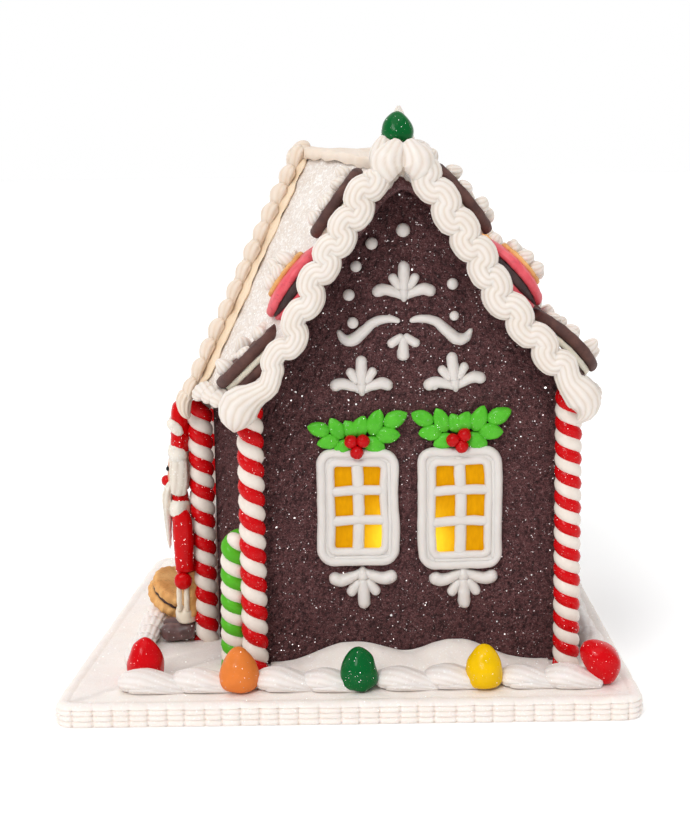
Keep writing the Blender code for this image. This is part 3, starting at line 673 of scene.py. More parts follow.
def shell(start, end, width, height, ridges=13, hook=0.35, seed=0, depth=0.1, twist=0.2):
    """Piped shell lying on a surface: a fat grooved head that tapers to a tail at end."""
    random = np.random.default_rng(seed)
    start, end = np.asarray(start, float), np.asarray(end, float)
    along = end - start
    size = random.uniform(0.94, 1.06)
    rows = []
    # share of the way, height of the middle, half width, half height
    for share, rise, wide, high in ((0.0, 0.26, 0.52, 0.34), (hook * 0.35, 0.42, 0.86, 0.52),
                                    (hook * 0.85, 0.50, 1.0, 0.60), (0.55, 0.42, 0.90, 0.56),
                                    (0.75, 0.30, 0.70, 0.46), (0.90, 0.20, 0.52, 0.36), (1.0, 0.14, 0.36, 0.26)):
        middle = start + along * share + np.array([0, 0, rise * height * size])
        rows.append((*middle, wide * width * size, high * height * size))
    curve = smooth(rows, 18)
    ends = tapered(18, 0.12, 0.08)
    return piped(curve[:, :3], curve[:, 3] * ends, curve[:, 4] * ends, (0, 0, 1), ridges, depth,
                 ridges * 5, twist + random.uniform(-0.3, 0.3))


def bank(node):
    """Smooth low bank of icing over the length of a node that runs along Y."""
    low, high = box(node)
    y = np.linspace(low[1] + 1, high[1] - 1, 120)
    middle = (low[0] + high[0]) / 2
    path = np.column_stack([middle + 0.8 * np.sin(y / 11), y, np.full(120, BOARD_TOP + 1.6)])
    swell = tapered(120, 0.06, 0.06) * (1 + 0.07 * np.sin(y / 5.0) + 0.05 * np.sin(y / 2.7 + 1))
    return uneven(piped(path, 6.2 * swell, 5.6 * swell, (0, 0, 1), 9, 0.035, 54, 5.0), 0.25, 9, 120)


def make_borders():
    """Rows of piped shells round the board."""
    low, high = box("border_near")
    middle_y = (low[1] + high[1]) / 2
    drops = [box(n) for n in ("gumdrop_orange", "gumdrop_green", "gumdrop_yellow", "gumdrop_red_back_corner")]
    spans = [(low[0] + 3, drops[0][0][0] + 1)]
    spans += [(a[1][0] - 2, b[0][0] + 4) for a, b in zip(drops, drops[1:])]
    shells = []
    for k, (left, right) in enumerate(spans):
        half = (right - left) / 2
        for j in range(2):
            first = left + half * j
            tail = first + half * 1.36
            shift = 0.8 * math.sin(3 * k + 2 * j)
            shells.append(shell((first, middle_y + shift, BOARD_TOP), (tail, middle_y - 3.5 + shift, BOARD_TOP),
                                9.4, 9.0, 10, 0.42, 10 * k + j, 0.07, 1.7))
            shells.append(shell((first + half * 0.18, middle_y - 5.2 + shift, BOARD_TOP),
                                (tail - 1, middle_y - 5.5 + shift, BOARD_TOP), 5.4, 5.0, 8, 0.5, 50 + 10 * k + j,
                                0.07, 1.2))
    near = join(shells)
    piece("border_shells_near", near, LOOKS["border"], "icing", "border_near")
    made = [near]
    for node, axis, pitch, wide, tall in (("border_far", 0, 25.5, 9.8, 9.6), ("border_door", 1, 13.2, 6.6, 9.0)):
        low, high = box(node)
        count = round((high[axis] - low[axis]) / pitch)
        starts = np.linspace(low[axis] + 1, high[axis] - 1, count + 1)
        shells = []
        for k, (a, b) in enumerate(zip(starts, starts[1:])):
            centre = (low + high) / 2
            if node == "border_door":
                centre[0] = low[0] + 7 + 4 * k / count
            begin, finish = centre.copy(), centre.copy()
            begin[axis], finish[axis] = a, b + 0.25 * (b - a)
            if k == count - 1:
                finish[axis] = b
            begin[2] = finish[2] = BOARD_TOP
            shells.append(shell(begin, finish, wide, tall, 11, 0.45, 100 + k, 0.1, 1.2 if axis == 0 else 0.2))
        row = join(shells)
        piece(node.replace("border", "border_shells"), row, LOOKS["border"], "icing", node)
        made.append(row)
    row = bank("border_back")
    piece("border_bank_back", row, LOOKS["border"], "icing", "border_back")
    return made + [row]


# walls and roof

def lie(node):
    """Ray casting tree of a node, in millimetres."""
    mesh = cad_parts[node].data
    return BVHTree.FromPolygons([tuple(v.co / MM) for v in mesh.vertices],
                                [tuple(p.vertices) for p in mesh.polygons])


def make_walls():
    """Pitted gingerbread walls up to the roof's underside."""
    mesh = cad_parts["house"].data
    points = np.array([v.co for v in mesh.vertices]) / MM
    plan = np.unique(points[points[:, 2] < HOUSE_LOW[2] + 0.1][:, :2].round(2), axis=0)
    plan = plan[np.argsort(np.arctan2(plan[:, 1], plan[:, 0] - 20))]
    tree = lie("house")
    columns = []
    outward = []
    fade = []
    for a, b in zip(plan, np.roll(plan, -1, 0)):
        length = np.linalg.norm(b - a)
        front = abs(a[1] + WALL_Y) < 1 and abs(b[1] + WALL_Y) < 1
        count = int(length / (1.0 if front else 2.3))
        share = np.arange(count) / count
        columns.append(a + (b - a) * share[:, None])
        normal = unit([b[1] - a[1], a[0] - b[0]])
        outward.append(np.broadcast_to(normal, (count, 2)))
        fade.append(np.clip(np.minimum(share, 1 - share) * length / 3, 0, 1))
    columns, outward, fade = np.vstack(columns), np.vstack(outward), np.concatenate(fade)
    tops = []
    for (x, y), (nx, ny) in zip(columns, outward):
        hit = tree.ray_cast((x - 0.6 * nx, y - 0.6 * ny, 400), (0, 0, -1))[0]
        tops.append(hit[2] if hit else EAVE_Z - 10)
    tops = np.array(tops)
    level = np.linspace(0, 1, 148)
    z = HOUSE_LOW[2] + level[:, None] * (tops - HOUSE_LOW[2])
    rings = np.dstack([np.broadcast_to(columns[:, 0], z.shape), np.broadcast_to(columns[:, 1], z.shape), z])
    flat = rings.reshape(-1, 3)
    pit = np.clip(ripple(flat, 2.3, 21) * ripple(flat, 3.3, 22) - 0.26, 0, 1)
    push = 0.22 * ripple(flat, 15, 23) + 0.12 * ripple(flat, 3.2, 24) - 1.6 * pit - 0.2
    push = np.clip(push, -1.1, 0.25).reshape(z.shape) * fade
    rings[..., 0] += outward[:, 0] * push
    rings[..., 1] += outward[:, 1] * push
    # the pits' tint is painted shade: the gingerbread look darkens them
    shape = skin(rings, np.clip(pit * 3, 0, 1).reshape(z.shape))
    piece("gingerbread_walls", shape, LOOKS["gingerbread"], "gingerbread", "house")
    return shape


def remeshed(node, voxel, name):
    """A copy of a node's mesh as an even, slightly rounded grid, as a Shape."""
    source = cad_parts[node]
    copy = bpy.data.objects.new(name, source.data.copy())
    bpy.context.scene.collection.objects.link(copy)
    remesh = copy.modifiers.new("remesh", "REMESH")
    remesh.mode = "VOXEL"
    remesh.voxel_size = voxel * MM
    soften = copy.modifiers.new("soften", "SMOOTH")
    soften.factor = 0.5
    soften.iterations = 4
    graph = bpy.context.evaluated_depsgraph_get()
    mesh = copy.evaluated_get(graph).to_mesh()
    points = np.array([v.co for v in mesh.vertices]) / MM
    quads = [tuple(p.vertices) for p in mesh.polygons if len(p.vertices) == 4]
    tris = [tuple(p.vertices) for p in mesh.polygons if len(p.vertices) == 3]
    copy.evaluated_get(graph).to_mesh_clear()
    bpy.data.objects.remove(copy)
    return Shape(points, quads, tris)


def roof_normals():
    """Outward normals of the near side facet, the door facet and the back facet."""
    side = unit(np.cross(SIDE_EAVE - PEAK, FRONT_PEAK - PEAK))
    side = side if side[0] < 0 else -side
    rise = RIDGE_Z - EAVE_Z
    door = unit([-rise, 0, FRONT_PEAK[0] - DOOR_CORNER[0]])
    back = unit([rise, 0, BACK_EAVE_X - PEAK_X])
    return side, door, back


def sagged(points):
    """Lower the top of the roof a little towards both gables."""
    share = np.clip((np.abs(points[:, 1]) - 8) / 80, 0, 1)
    rise = np.clip((points[:, 2] - 236) / 26, 0, 1)
    lowered = points.copy()
    lowered[:, 2] -= 7.5 * share * rise * rise * (3 - 2 * rise)
    return lowered


def make_roof():
    """Glittering white roof over a gingerbread slab."""
    shape = remeshed("roof", 2.8, "roof_copy")
    inside = np.clip((0.38 - normals(shape)[:, 2]) / 0.12, 0, 1)
    push = 0.30 * ripple(shape.points, 18, 31) + 0.2 * ripple(shape.points, 6, 32) + 0.08 * ripple(shape.points, 2.5, 33)
    shape.points += normals(shape) * ((push - 0.2) * (1 - inside))[:, None]
    shape.points = sagged(shape.points)
    shape.tint = inside
    white = Shape(shape.points, shape.quads[inside[shape.quads].mean(1) < 0.3], shape.tris)
    piece("roof_snow", shape, LOOKS["roof"], "roof_snow", "roof")
    return white


# piped ropes on the roof

# icing down each side of the gable, as X and Z: start and end of its straight run; where its inner
# bumps sit along the run and how far the rope bends inward there; half widths at the top and the
# bottom; and the tail that follows, with its half widths
RAKES = {
    "left": ((19.8, 264.5), (-36.0, 159.5),
             ((13.5, -0.2), (28.8, -0.1), (44.6, -1.2), (57.9, -2.0), (75.8, -1.4), (96.6, 0.0), (117, -2.0)),
             (6.4, 5.3),
             ((-36.5, 156.6, 5.4), (-42.4, 152.8, 6.2), (-49.8, 147.4, 10.2), (-52.4, 140.2, 9.6),
              (-53.4, 134.6, 5.2))),
    "right": ((30.6, 264.5), (102.2, 159.5),
              ((17.0, -1.6), (34.4, -1.0), (49.7, -1.0), (64.9, -0.2), (79.8, 1.9), (98.6, 0.0), (116.3, -2.4)),
              (6.5, 6.4),
              ((106.4, 157.8, 6.4), (110.4, 152.8, 8.0), (114.4, 147.4, 8.4), (114.4, 141.0, 6.0),
               (110.6, 136.4, 1.4))),
}
RAKE_BEGIN = 7.0
RAKE_SWING = 2.4
# the two lobes where the ropes meet: distance from the peak in X, Y and Z, half width
LOBE = ((0.6, 1.5, 4.9, 3.8), (3.2, -0.4, 1.8, 5.6), (6.9, -1.2, -4.2, 8.2), (6.6, -1.0, -9.4, 6.2), (5.0, 0.0, -12.4, 2.0))


def make_rakes():
    """Thick wavy icing down the gables' edges, with a shell of icing at each end."""
    for side, (start, knee, bumps, radii, tail) in RAKES.items():
        random = np.random.default_rng(41 + len(side))
        low, high = box("rake_icing_near_" + side)
        y = (low[1] + high[1]) / 2
        sign = -1 if side == "left" else 1
        start, knee = np.array([start[0], y, start[1]]), np.array([knee[0], y, knee[1]])
        down = unit(knee - start)
        inward = np.array([down[2] * sign, 0, -abs(down[0])])
        length = np.linalg.norm(knee - start)
        steps = int(length / 1.5)
        s = np.linspace(RAKE_BEGIN, length, steps)
        places, bends = np.array(bumps).T
        order = np.arange(-1, len(places) + 1)
        places = np.concatenate([[places[0] - 15.5], places, [places[-1] + 17]])
        bends = np.concatenate([[bends[0]], bends, [bends[-1]]])
        phase = TURN * np.interp(s, places, order)
        bend = smooth(np.column_stack([places, bends]), 200)
        chance = smooth(random.uniform(-1, 1, (11, 2)), steps)
        sway = RAKE_SWING * (1 + 0.15 * chance[:, 1]) * np.cos(phase) + np.interp(s, bend[:, 0], bend[:, 1])
        slip = 1.1 * np.sin(2 * phase)
        path = start + down * (s + slip)[:, None] + inward * sway[:, None]
        width = np.linspace(*radii, steps) * (1 + 0.05 * chance[:, 0])
        end = np.array([(x, y + 0.4 * k, z, wide) for k, (x, z, wide) in enumerate(tail)])
        rows = smooth(np.vstack([np.column_stack([path, width])[:-2], end]), 200)
        rows[:, 3] *= tapered(200, 0.03, 0.03)
        rope = piped(rows[:, :3], rows[:, 3], rows[:, 3] * 0.92, (0, -1, 0), 13, 0.07, 65)
        lobe = smooth([(PEAK_X + sign * dx, y + dy, RIDGE_Z + dz, wide) for dx, dy, dz, wide in LOBE], 32)
        lobe[:, 3] *= tapered(32, 0.12, 0.12)
        tall = piped(lobe[:, :3], lobe[:, 3], lobe[:, 3] * 0.85, (0, -1, 0), 10, 0.06, 60, 1.4 * sign)
        shape = uneven(join([rope, tall]), 0.15, 7, 44)
        piece("rake_rope_near_" + side, shape, LOOKS["icing"], "icing", "rake_icing_near_" + side)
        piece("rake_rope_far_" + side, shape.far(), LOOKS["icing"], "icing", "rake_icing_far_" + side)


def shell_chain(start, finish, up, count, width, height, seed, ridges=9, overlap=1.35, depth=0.11,
                fade=1.0):
    """Row of overlapping shells along a line, lying against a surface with normal up."""
    random = np.random.default_rng(seed)
    start, finish, up = (np.asarray(v, float) for v in (start, finish, up))
    step = (finish - start) / count
    shapes = []
    for k in range(count):
        big = random.uniform(0.92, 1.08) * np.interp(k, (0, count - 1), np.broadcast_to(fade, 2))
        rows = []
        for share, rise, wide in ((0.0, 0.25, 0.5), (0.1, 0.5, 0.85), (0.35, 0.62, 1.0), (0.7, 0.5, 0.8),
                                  (1.0, 0.3, 0.52), (overlap, 0.12, 0.2)):
            rows.append((*(start + step * (k + share) + up * rise * height), wide * width * big, wide * height * 0.62 * big))
        curve = smooth(rows, 15)
        ends = tapered(15, 0.14, 0.08)
        shapes.append(piped(curve[:, :3], curve[:, 3] * ends, curve[:, 4] * ends, up, ridges, depth, ridges * 4,
                            random.uniform(-0.4, 0.8)))
    return join(shapes)


def make_hips():
    """Shell ropes from the front peak down to the corners of the eave."""
    side, door, _ = roof_normals()
    up = unit(side + door)
    direction = unit(DOOR_CORNER - FRONT_PEAK)
    start = FRONT_PEAK - direction * 2 + (-1.3, -1.0, 0) - up * 1.2
    finish = DOOR_CORNER + direction * 5 + (-3.0, -1, 0) - up * 1.2
    rope = shell_chain(start, finish, up, 13, 7.4, 5.6, 51, 7, 1.5, 0.08, (1.2, 0.98))
    head = smooth([(*(start + (-4.0, -1.5, -7)), 3.5), (*(start + (-2.8, -1.5, -2.4)), 5.8),
                   (*(start + (0.2, -1.5, 0.6)), 6.0), (*(start + (4.0, -1, 1.0)), 3.0)], 24)
    head[:, 3] *= tapered(24, 0.2, 0.2)
    blob = piped(head[:, :3], head[:, 3], head[:, 3] * 0.9, (0, -1, 0), 9, 0.08, 45, 0.8)
    curl = smooth([(*(finish + (-0.5, 0, 6)), 4.0), (*(finish + (-2.6, -0.5, 1)), 4.2), (*(finish + (-2.2, -0.5, -5)), 3.0),
                   (*(finish + (-0.2, -0.5, -8.5)), 1.0)], 20)
    ends = tapered(20, 0.15, 0.1)
    hook = piped(curl[:, :3], curl[:, 3] * ends, curl[:, 3] * ends, (0, -1, 0), 9, 0.16, 45, 0.6)
    shape = join([rope, hook, blob])
    # a flat tan band on the roof beside the rope, on its inner side: a painted shadow of the rope
    inward = unit(np.cross(direction, side))
    inward = inward * np.sign(inward[0])
    line = np.linspace(0.02, 0.97, 60)[:, None]
    line = FRONT_PEAK + (DOOR_CORNER - FRONT_PEAK) * line + inward * 3.9 + side * 1.0
    shadow_band = uneven(piped(line, 5.0 * tapered(60, 0.05, 0.05), 1.5, side, sides=14), 0.7, 11, 52)
    piece("hip_shadow_band_near", shadow_band, LOOKS["hip_shadow_band"], "icing")
    piece("hip_shadow_band_far", shadow_band.far(), LOOKS["hip_shadow_band"], "icing")
    piece("hip_rope_near", shape, LOOKS["hip"], "icing", "hip_icing_near")
    piece("hip_rope_far", shape.far(), LOOKS["hip"], "icing", "hip_icing_far")


def make_eaves():
    """Fat shells along the eaves."""
    away = np.array([-1.6, -1.0, 0])
    near = shell_chain(SIDE_EAVE + away + (0, 4, -1), DOOR_CORNER + away + (3.5, 0, -1), (-0.5, -0.4, 0.77), 4, 5.8, 6.2, 61, 11)
    piece("eave_shells_near", near, LOOKS["icing"], "icing", "eave_icing_near")
    piece("eave_shells_far", near.far(), LOOKS["icing"], "icing", "eave_icing_far")
    front = DOOR_CORNER + (-1.5, 9, -1)
    door = shell_chain(front, front * (1, -1, 1), (-0.7, 0, 0.7), 7, 5.2, 5.6, 62, 11)
    piece("eave_shells_door", door, LOOKS["icing"], "icing", "eave_icing_door")
    low, high = box("eave_icing_back")
    start = np.array([BACK_EAVE_X + 0.6, low[1] + 24, EAVE_Z - 1])
    back = shell_chain(start, start * (1, -1, 1), (0.7, 0, 0.7), 10, 5.2, 5.6, 63, 11)
    tip = np.array([BACK_EAVE_X - 2.6, low[1] + 2, EAVE_Z - 1])
    small = shell_chain(tip, start, (0.7, 0, 0.7), 2, 3.6, 4.2, 64, 9, 1.3, 0.11, (0.8, 1.3))
    back = join([back, both_sides(small)])
    piece("eave_shells_back", back, LOOKS["icing"], "icing", "eave_icing_back")


def make_top():
    """Smooth icing over the flat top, its edge drooping over the facets."""
    tip, near = FRONT_PEAK[:2], PEAK[:2]
    corners = [near, (PEAK_X + 1.5, 0), near * (1, -1), tip + (4, 10), tip + (-2, 0), tip + (4, -10)]
    line = []
    for a, b in zip(corners, corners[1:] + corners[:1]):
        line += [np.asarray(a) + (np.asarray(b) - a) * k / 60 for k in range(60)]
    line = np.array(line)
    middle = line.mean(0)
    count = len(line)
    around = np.arange(count)
    scallop = np.abs(np.sin(around * math.pi / 22)) ** 0.6
    droop = 0.5 + 0.5 * np.sin(around * 0.11 + 1.0)
    away = unit(line - middle)
    rows = []
    for out, z, follow in ((-16, 2.6, 0), (-6, 3.4, 0), (-2, 3.8, 0), (0.6, 3.7, 0.6), (2.0, 3.0, 1), (2.5, 1.8, 1),
                           (2.2, 0.2, 1), (1.2, -0.8, 1), (0.2, -0.6, 1), (-3, 0.4, 0)):
        grow = out + follow * (0.8 * scallop)
        drop = z - follow * (z < 2) * 1.8 * droop
        rows.append(np.column_stack([line + away * grow[:, None] if np.ndim(grow) else line + away * grow,
                                     RIDGE_Z + drop + 0 * around]))
    shape = uneven(uneven(skin(rows), 0.5, 13, 71), 0.15, 5, 72).moved(sagged)
    piece("top_icing_sheet", shape, LOOKS["hip"], "icing", "top_icing")


def dollop(base, normal, radius, height, seed=0, ridges=8):
    """Star-tip dollop with a blunt point."""
    random = np.random.default_rng(seed)
    profile = smooth([(0.80, -0.15), (0.98, 0.08), (1.02, 0.32), (0.90, 0.58), (0.66, 0.80), (0.36, 0.95), (0.05, 1.0)], 10)
    profile = profile * (radius, height * random.uniform(0.85, 1.15))
    lean = random.normal(size=3) * 0.2 * height
    return turned(profile, ridges * 4, base, normal, ridges, 0.12, random.uniform(0.4, 1.3), lean)


def make_top_ornaments():
    """The dollop behind the gable's peak and the ridged icing beside it."""
    low, high = box("top_dollop")
    middle = (low + high) / 2
    profile = smooth([(7.2, 0), (7.6, 3), (5.6, 7.5), (3.6, 12), (2.2, 15.5), (0.9, 18.0)], 30)
    tall = turned(profile, 60, (middle[0], middle[1], low[2]), (0, 0, 1), 10, 0.16, 1.2)
    piece("tall_dollop", tall, LOOKS["icing"], "icing", "top_dollop")
    beside = [dollop((19.5, -87, 261.5), (-0.25, -0.1, 1), 6.6, 11, 76), dollop((37.2, -87, 261.5), (0.25, -0.1, 1), 6.6, 11, 77),
              dollop((35.5, -68, TOP_Z - 5), (0.45, 0, 1), 7.0, 9.5, 72), dollop((40, -84, TOP_Z - 8), (0.7, 0, 1), 4.6, 6, 73),
              dollop((36, 68, TOP_Z - 5), (0.45, 0, 1), 7.0, 9.5, 74), dollop((28, 62, TOP_Z - 1), (0, 0, 1), 6.5, 11, 75)]
    piece("top_small_dollops", join(beside), LOOKS["icing"], "icing")


# candy

def twisted(x, y, low, high, radius, turn, phase, bend=None, slow=0.0):
    """Two strands wound round each other; slow makes the upper turns longer than the lower ones."""
    strand = radius * 0.56
    reach = radius - strand
    turns = (high - low) / turn
    steps = int(turns * 15) + 2
    u = np.linspace(0, 1, steps)
    z = low + (high - low) * u
    strands = []
    for k in range(2):
        angle = phase + math.pi * k - TURN * turns * (u + slow * u * (1 - u))
        shift = np.zeros((steps, 2)) if bend is None else bend(z)
        path = np.column_stack([x + shift[:, 0] + reach * np.cos(angle), y + shift[:, 1] + reach * np.sin(angle), z])
        ends = np.sqrt(np.clip(1 - np.clip(1 - (high - z) / strand, 0, 1) ** 2, 0.02, 1)) if bend is not None else 1
        strands.append(piped(path, strand * 1.14 * ends, strand * 1.14 * ends, (0, 0, 1), sides=12))
    return strands


def make_pillars():
    """Red and white candy pillars that carry the roof."""
    roof = lie("roof")
    made = []
    for kind, turn, phase in (("corner", 14.6, 0.04), ("back", 12.3, 3.86), ("door", 14.2, 3.46)):
        for end in ("near", "far"):
            node = "pillar_%s_%s" % (kind, end)
            low, high = box(node)
            x, y = (low[0] + high[0]) / 2, (low[1] + high[1]) / 2
            radius = (high[0] - low[0]) / 2
            top = high[2] - (3 if kind == "door" else 6)
            hit = roof.ray_cast((x, y, low[2] + 20), (0, 0, 1))[0]
            if hit:
                top = min(top, hit[2] + 1)
            red, white = twisted(x, y, low[2] - 1.0, top, radius, turn, phase)
            piece(node.replace("pillar", "pillar_white"), white, LOOKS["white_candy"], "red_white_candy")
            piece(node.replace("pillar", "pillar_red"), red, LOOKS["red"], "red_white_candy", node)
            made.append(red)
    return made


def make_canes():
    """Green and white canes with bent tops, beside the corner pillars."""
    for end, sign in (("near", -1), ("far", 1)):
        low, high = box("cane_" + end)
        x, y = (low[0] + high[0]) / 2, (low[1] + high[1]) / 2
        radius = (high[0] - low[0]) / 2

        def crook(z):
            bend = np.clip((z - (high[2] - 12)) / 12, 0, 1) ** 2
            return np.column_stack([0.8 + 1.5 * (z - low[2]) / 70 + 2.5 * bend, 0 * bend])

        green, white = twisted(x, y, low[2] - 1.0, high[2] - 0.5, radius, 12.4, 4.4, crook, 0.2)
        piece("cane_white_" + end, white, LOOKS["white_candy"], "green_white_candy")
        piece("cane_green_" + end, green, LOOKS["green_candy"], "green_white_candy", "cane_" + end)


GUM_PROFILE = [(0.42, 0.0), (0.76, 0.035), (0.95, 0.15), (1.0, 0.30), (0.95, 0.47), (0.80, 0.66), (0.58, 0.83),
               (0.31, 0.95), (0.05, 1.0)]
TIPPED_PROFILE = [(0.20, 0.0), (0.48, 0.05), (0.76, 0.22), (0.96, 0.47), (1.0, 0.60), (0.93, 0.76), (0.70, 0.91),
                  (0.36, 0.985), (0.05, 1.0)]


def gumdrop(node, look, wide=1.0, profile=GUM_PROFILE, lean=(0, 0, 0), shift=(0, 0, 0)):
    """Egg-shaped gumdrop in the room of its node."""
    low, high = box(node)
    middle = (low + high) / 2
    rows = smooth(profile, 34) * ((high[0] - low[0]) / 2 * wide, high[2] - low[2])
    base = np.array([middle[0], middle[1], low[2]]) + shift
    shape = uneven(turned(rows, 44, base, (0, 0, 1), lean=lean), 0.22, 9, len(node))
    piece(node.replace("gumdrop", "gumdrop_sweet"), shape, LOOKS[look], look, node)
    return shape


def make_gumdrops():
    """Gumdrops on the board and on the peak."""
    return [gumdrop("gumdrop_red_door_corner", "gumdrop_red"), gumdrop("gumdrop_orange", "gumdrop_orange", 1.04),
            gumdrop("gumdrop_green", "gumdrop_green"), gumdrop("gumdrop_yellow", "gumdrop_yellow"),
            gumdrop("gumdrop_red_back_corner", "gumdrop_red", 1.03, TIPPED_PROFILE, (-5.2, 0, 0), (3.2, 0, 0)),
            gumdrop("gumdrop_top", "gumdrop_green")]


# cookies

# outer face at mid depth from its upper to its lower end: x1, z1, x2, z2
COOKIES = {
    "cookie_left_upper": (7, 259.5, -16.3, 227.2), "cookie_left_middle": (-12, 222.2, -38, 188.5),
    "cookie_left_lower": (-32, 185.5, -64, 154.5), "cookie_right_upper": (46.7, 261, 73.2, 228.2),
    "cookie_right_middle": (69.5, 224.5, 97.5, 193.0), "cookie_right_lower": (93.5, 190.0, 125, 160.5),
}
COOKIE_EDGE_Y = -92.6


def layer(radius, low, high, dome=0.0, crimp=0.0, sides=64, edge=1.9):
    """Round biscuit layer with soft rims, domed or crimped, along +Z."""
    rows = [(radius - edge * 2.4, low), (radius - edge, low), (radius - edge * 0.3, low + edge * 0.3),
            (radius, (low + high) / 2), (radius - edge * 0.3, high - edge * 0.3), (radius - edge, high)]
    for share in (0.8, 0.55, 0.3, 0.05):
        rows.append((radius * share - edge * 0.2 if share > 0.1 else 0.3, high))
    shape = turned(smooth(rows, 17), sides, (0, 0, 0), (0, 0, 1))
    distance = np.linalg.norm(shape.points[:, :2], axis=1) / radius
    shape.points[:, 2] += dome * (1 - np.clip(distance, 0, 1) ** 2)
    if crimp:
        angle = np.arctan2(shape.points[:, 1], shape.points[:, 0])
        shape.points[:, :2] *= (1 + crimp * np.cos(22 * angle) * distance ** 4)[:, None]
    return shape


def cookie_frame(ends):
    """Matrix that lays a cookie's +Z out of the roof at its place, and its radius."""
    x1, z1, x2, z2 = ends
    along = unit([x2 - x1, 0, z2 - z1])
    outward = np.array([-along[2], 0, along[0]])
    if outward[2] < 0:
        outward = -outward
    radius = math.hypot(x2 - x1, z2 - z1) / 2
    middle = np.array([(x1 + x2) / 2, COOKIE_EDGE_Y + radius, (z1 + z2) / 2])
    across = np.cross(outward, along)
    return middle, along, across, outward, radius


def lay(shape, place):
    """Put a cookie layer in place."""
    middle, along, across, outward, _ = place
    return shape.moved(lambda p: middle + p[:, :1] * along + p[:, 1:2] * across + p[:, 2:] * outward)


def arched(shape, radius, rise, dome=0.0):
    """Bend a laid-flat layer up in an arch along X, and dome it."""
    def lift(points):
        ends = 1 - np.clip(points[:, 0] / radius, -1, 1) ** 2
        round_off = 1 - np.clip(np.linalg.norm(points[:, :2], axis=1) / radius, 0, 1) ** 2
        return points + np.outer(rise * ends + dome * round_off, (0, 0, 1))
    return shape.moved(lift)


def lens(radius, middle, thick, rise):
    """Filling that fills the gap between two arched layers: thin at its ends."""
    flat = layer(radius, -1, 1, edge=0.7)

    def swell(points):
        ends = 1 - np.clip(points[:, 0] / radius, -1, 1) ** 2
        height = middle + rise * ends + points[:, 2] * (0.5 + thick / 2 * ends)
        return np.column_stack([points[:, :2], height])
    return flat.moved(swell)


def make_cookies():
    """Sandwich cookies on the roof's edges, with piped dollops on them."""
    dollops = []
    for number, (name, ends) in enumerate(COOKIES.items()):
        place = cookie_frame(ends)
        middle, along, across, outward, radius = place
        if "middle" in name:
            looks = ("pink", "pink_shell", "filling", "dark_filling")
            layers = {"wafer_outer": arched(layer(radius, -4.4, -0.1), radius, 3.0, 2.0),
                      "filling": lens(radius - 1.4, -3.9, 3.4, 0.4),
                      "wafer_inner": arched(layer(radius - 0.6, -7.6, -3.6), radius, -1.9, -1.5)}
        else:
            looks = ("wafer", "dark_wafer", "cream", "cream")
            rise = 3.2 if name == "cookie_right_lower" else 0.8
            layers = {"wafer_outer": arched(layer(radius, -5.3, 0.2, edge=2.2), radius, rise),
                      "filling": arched(layer(radius - 1.6, -8.2, -5.0, edge=1.0), radius, rise * 0.8),
                      "wafer_inner": arched(layer(radius - 0.4, -12.9, -7.9), radius, rise * 0.4)}
        for ending, shape in layers.items():
            node = "%s_%s" % (name, ending)
            look, slot = looks[2:] if ending == "filling" else looks[:2]
            shape = uneven(lay(shape, place), 0.16, 5, 80 + number)
            piece(node.replace("cookie", "biscuit"), shape, LOOKS[look], slot, node)
            piece(node.replace("cookie", "biscuit_far"), shape.far(), LOOKS[look], slot)
        base, spread = 0.4, 0.66
        if "middle" in name:
            node = name.replace("cookie", "tan_cookie")
            small = arched(layer(radius * 0.62, -0.4, 1.7, crimp=0.02, edge=0.8), radius, 3.0, 2.0)
            shape = uneven(lay(small, place), 0.15, 4, 80 + number)
            piece(node.replace("cookie", "biscuit"), shape, LOOKS["tan"], "tan_cookie", node)
            piece(node.replace("cookie", "biscuit_far"), shape.far(), LOOKS["tan"], "tan_cookie")
            base, spread = 5.6, 0.4
        for k in range(8):
            angle = TURN * k / 7 + 0.5 + number
            reach = 0 if k == 7 else radius * spread
            spot = middle + (along * math.cos(angle) + across * math.sin(angle)) * reach + outward * base
            size = 4.1 if k < 7 else 4.8
            dollops.append(dollop(spot, outward, size, size * 1.25, 90 + 10 * number + k))
    piece("cookie_dollops", both_sides(join(dollops)), LOOKS["icing"], "icing")


# the gable wall's ornaments

def stroke(rows, seed=0, thick=0.62):
    """Plump piped line on the wall: rows are x, z and full width."""
    rows = np.asarray(rows, float)
    count = 6 * len(rows) + 8
    curve = smooth(rows, count)
    length = np.linalg.norm(np.diff(curve[:, :2], axis=0), axis=1).sum()
    ends = tapered(count, min(0.45, rows[0, 2] / 2 / length), min(0.45, rows[-1, 2] / 2 / length))
    path = np.column_stack([curve[:, 0], np.full(count, -WALL_Y), curve[:, 1]])
    half = curve[:, 2] / 2 * ends
    return uneven(piped(path, half, half * 2 * thick, (0, -1, 0), sides=14), 0.1, 4, seed)


def motif(x, z, flip=1, tilt=0.0, seed=0, scale=1.0):
    """Piped flower: a stem, two petals and two wings; flip -1 hangs it upside down."""
    lines = [[(0, 1.5, 4.6), (0, 8, 5.6), (0, 16.6, 5.6)], [(0, -3.4, 1.2), (0, -0.6, 5.0), (0, 4.0, 6.4)]]
    for side in (-1, 1):
        lines.append([(side * 1.5, 2.5, 3.6), (side * 4.2, 6.5, 4.6), (side * 6.6, 10.2, 4.4)])
        lines.append([(0, -1.4, 2.8), (side * 4.0, 1.0, 4.6), (side * 10.0, 2.7, 5.8), (side * 15.2, 0.6, 5.8)])
    turn = math.radians(tilt)
    shapes = []
    for k, rows in enumerate(lines):
        rows = np.array(rows, float) * scale
        rows[:, 1] *= flip
        u = rows[:, 0] * math.cos(turn) - rows[:, 1] * math.sin(turn)
        v = rows[:, 0] * math.sin(turn) + rows[:, 1] * math.cos(turn)
        shapes.append(stroke(np.column_stack([u + x, v + z, rows[:, 2]]), seed + k))
    return shapes


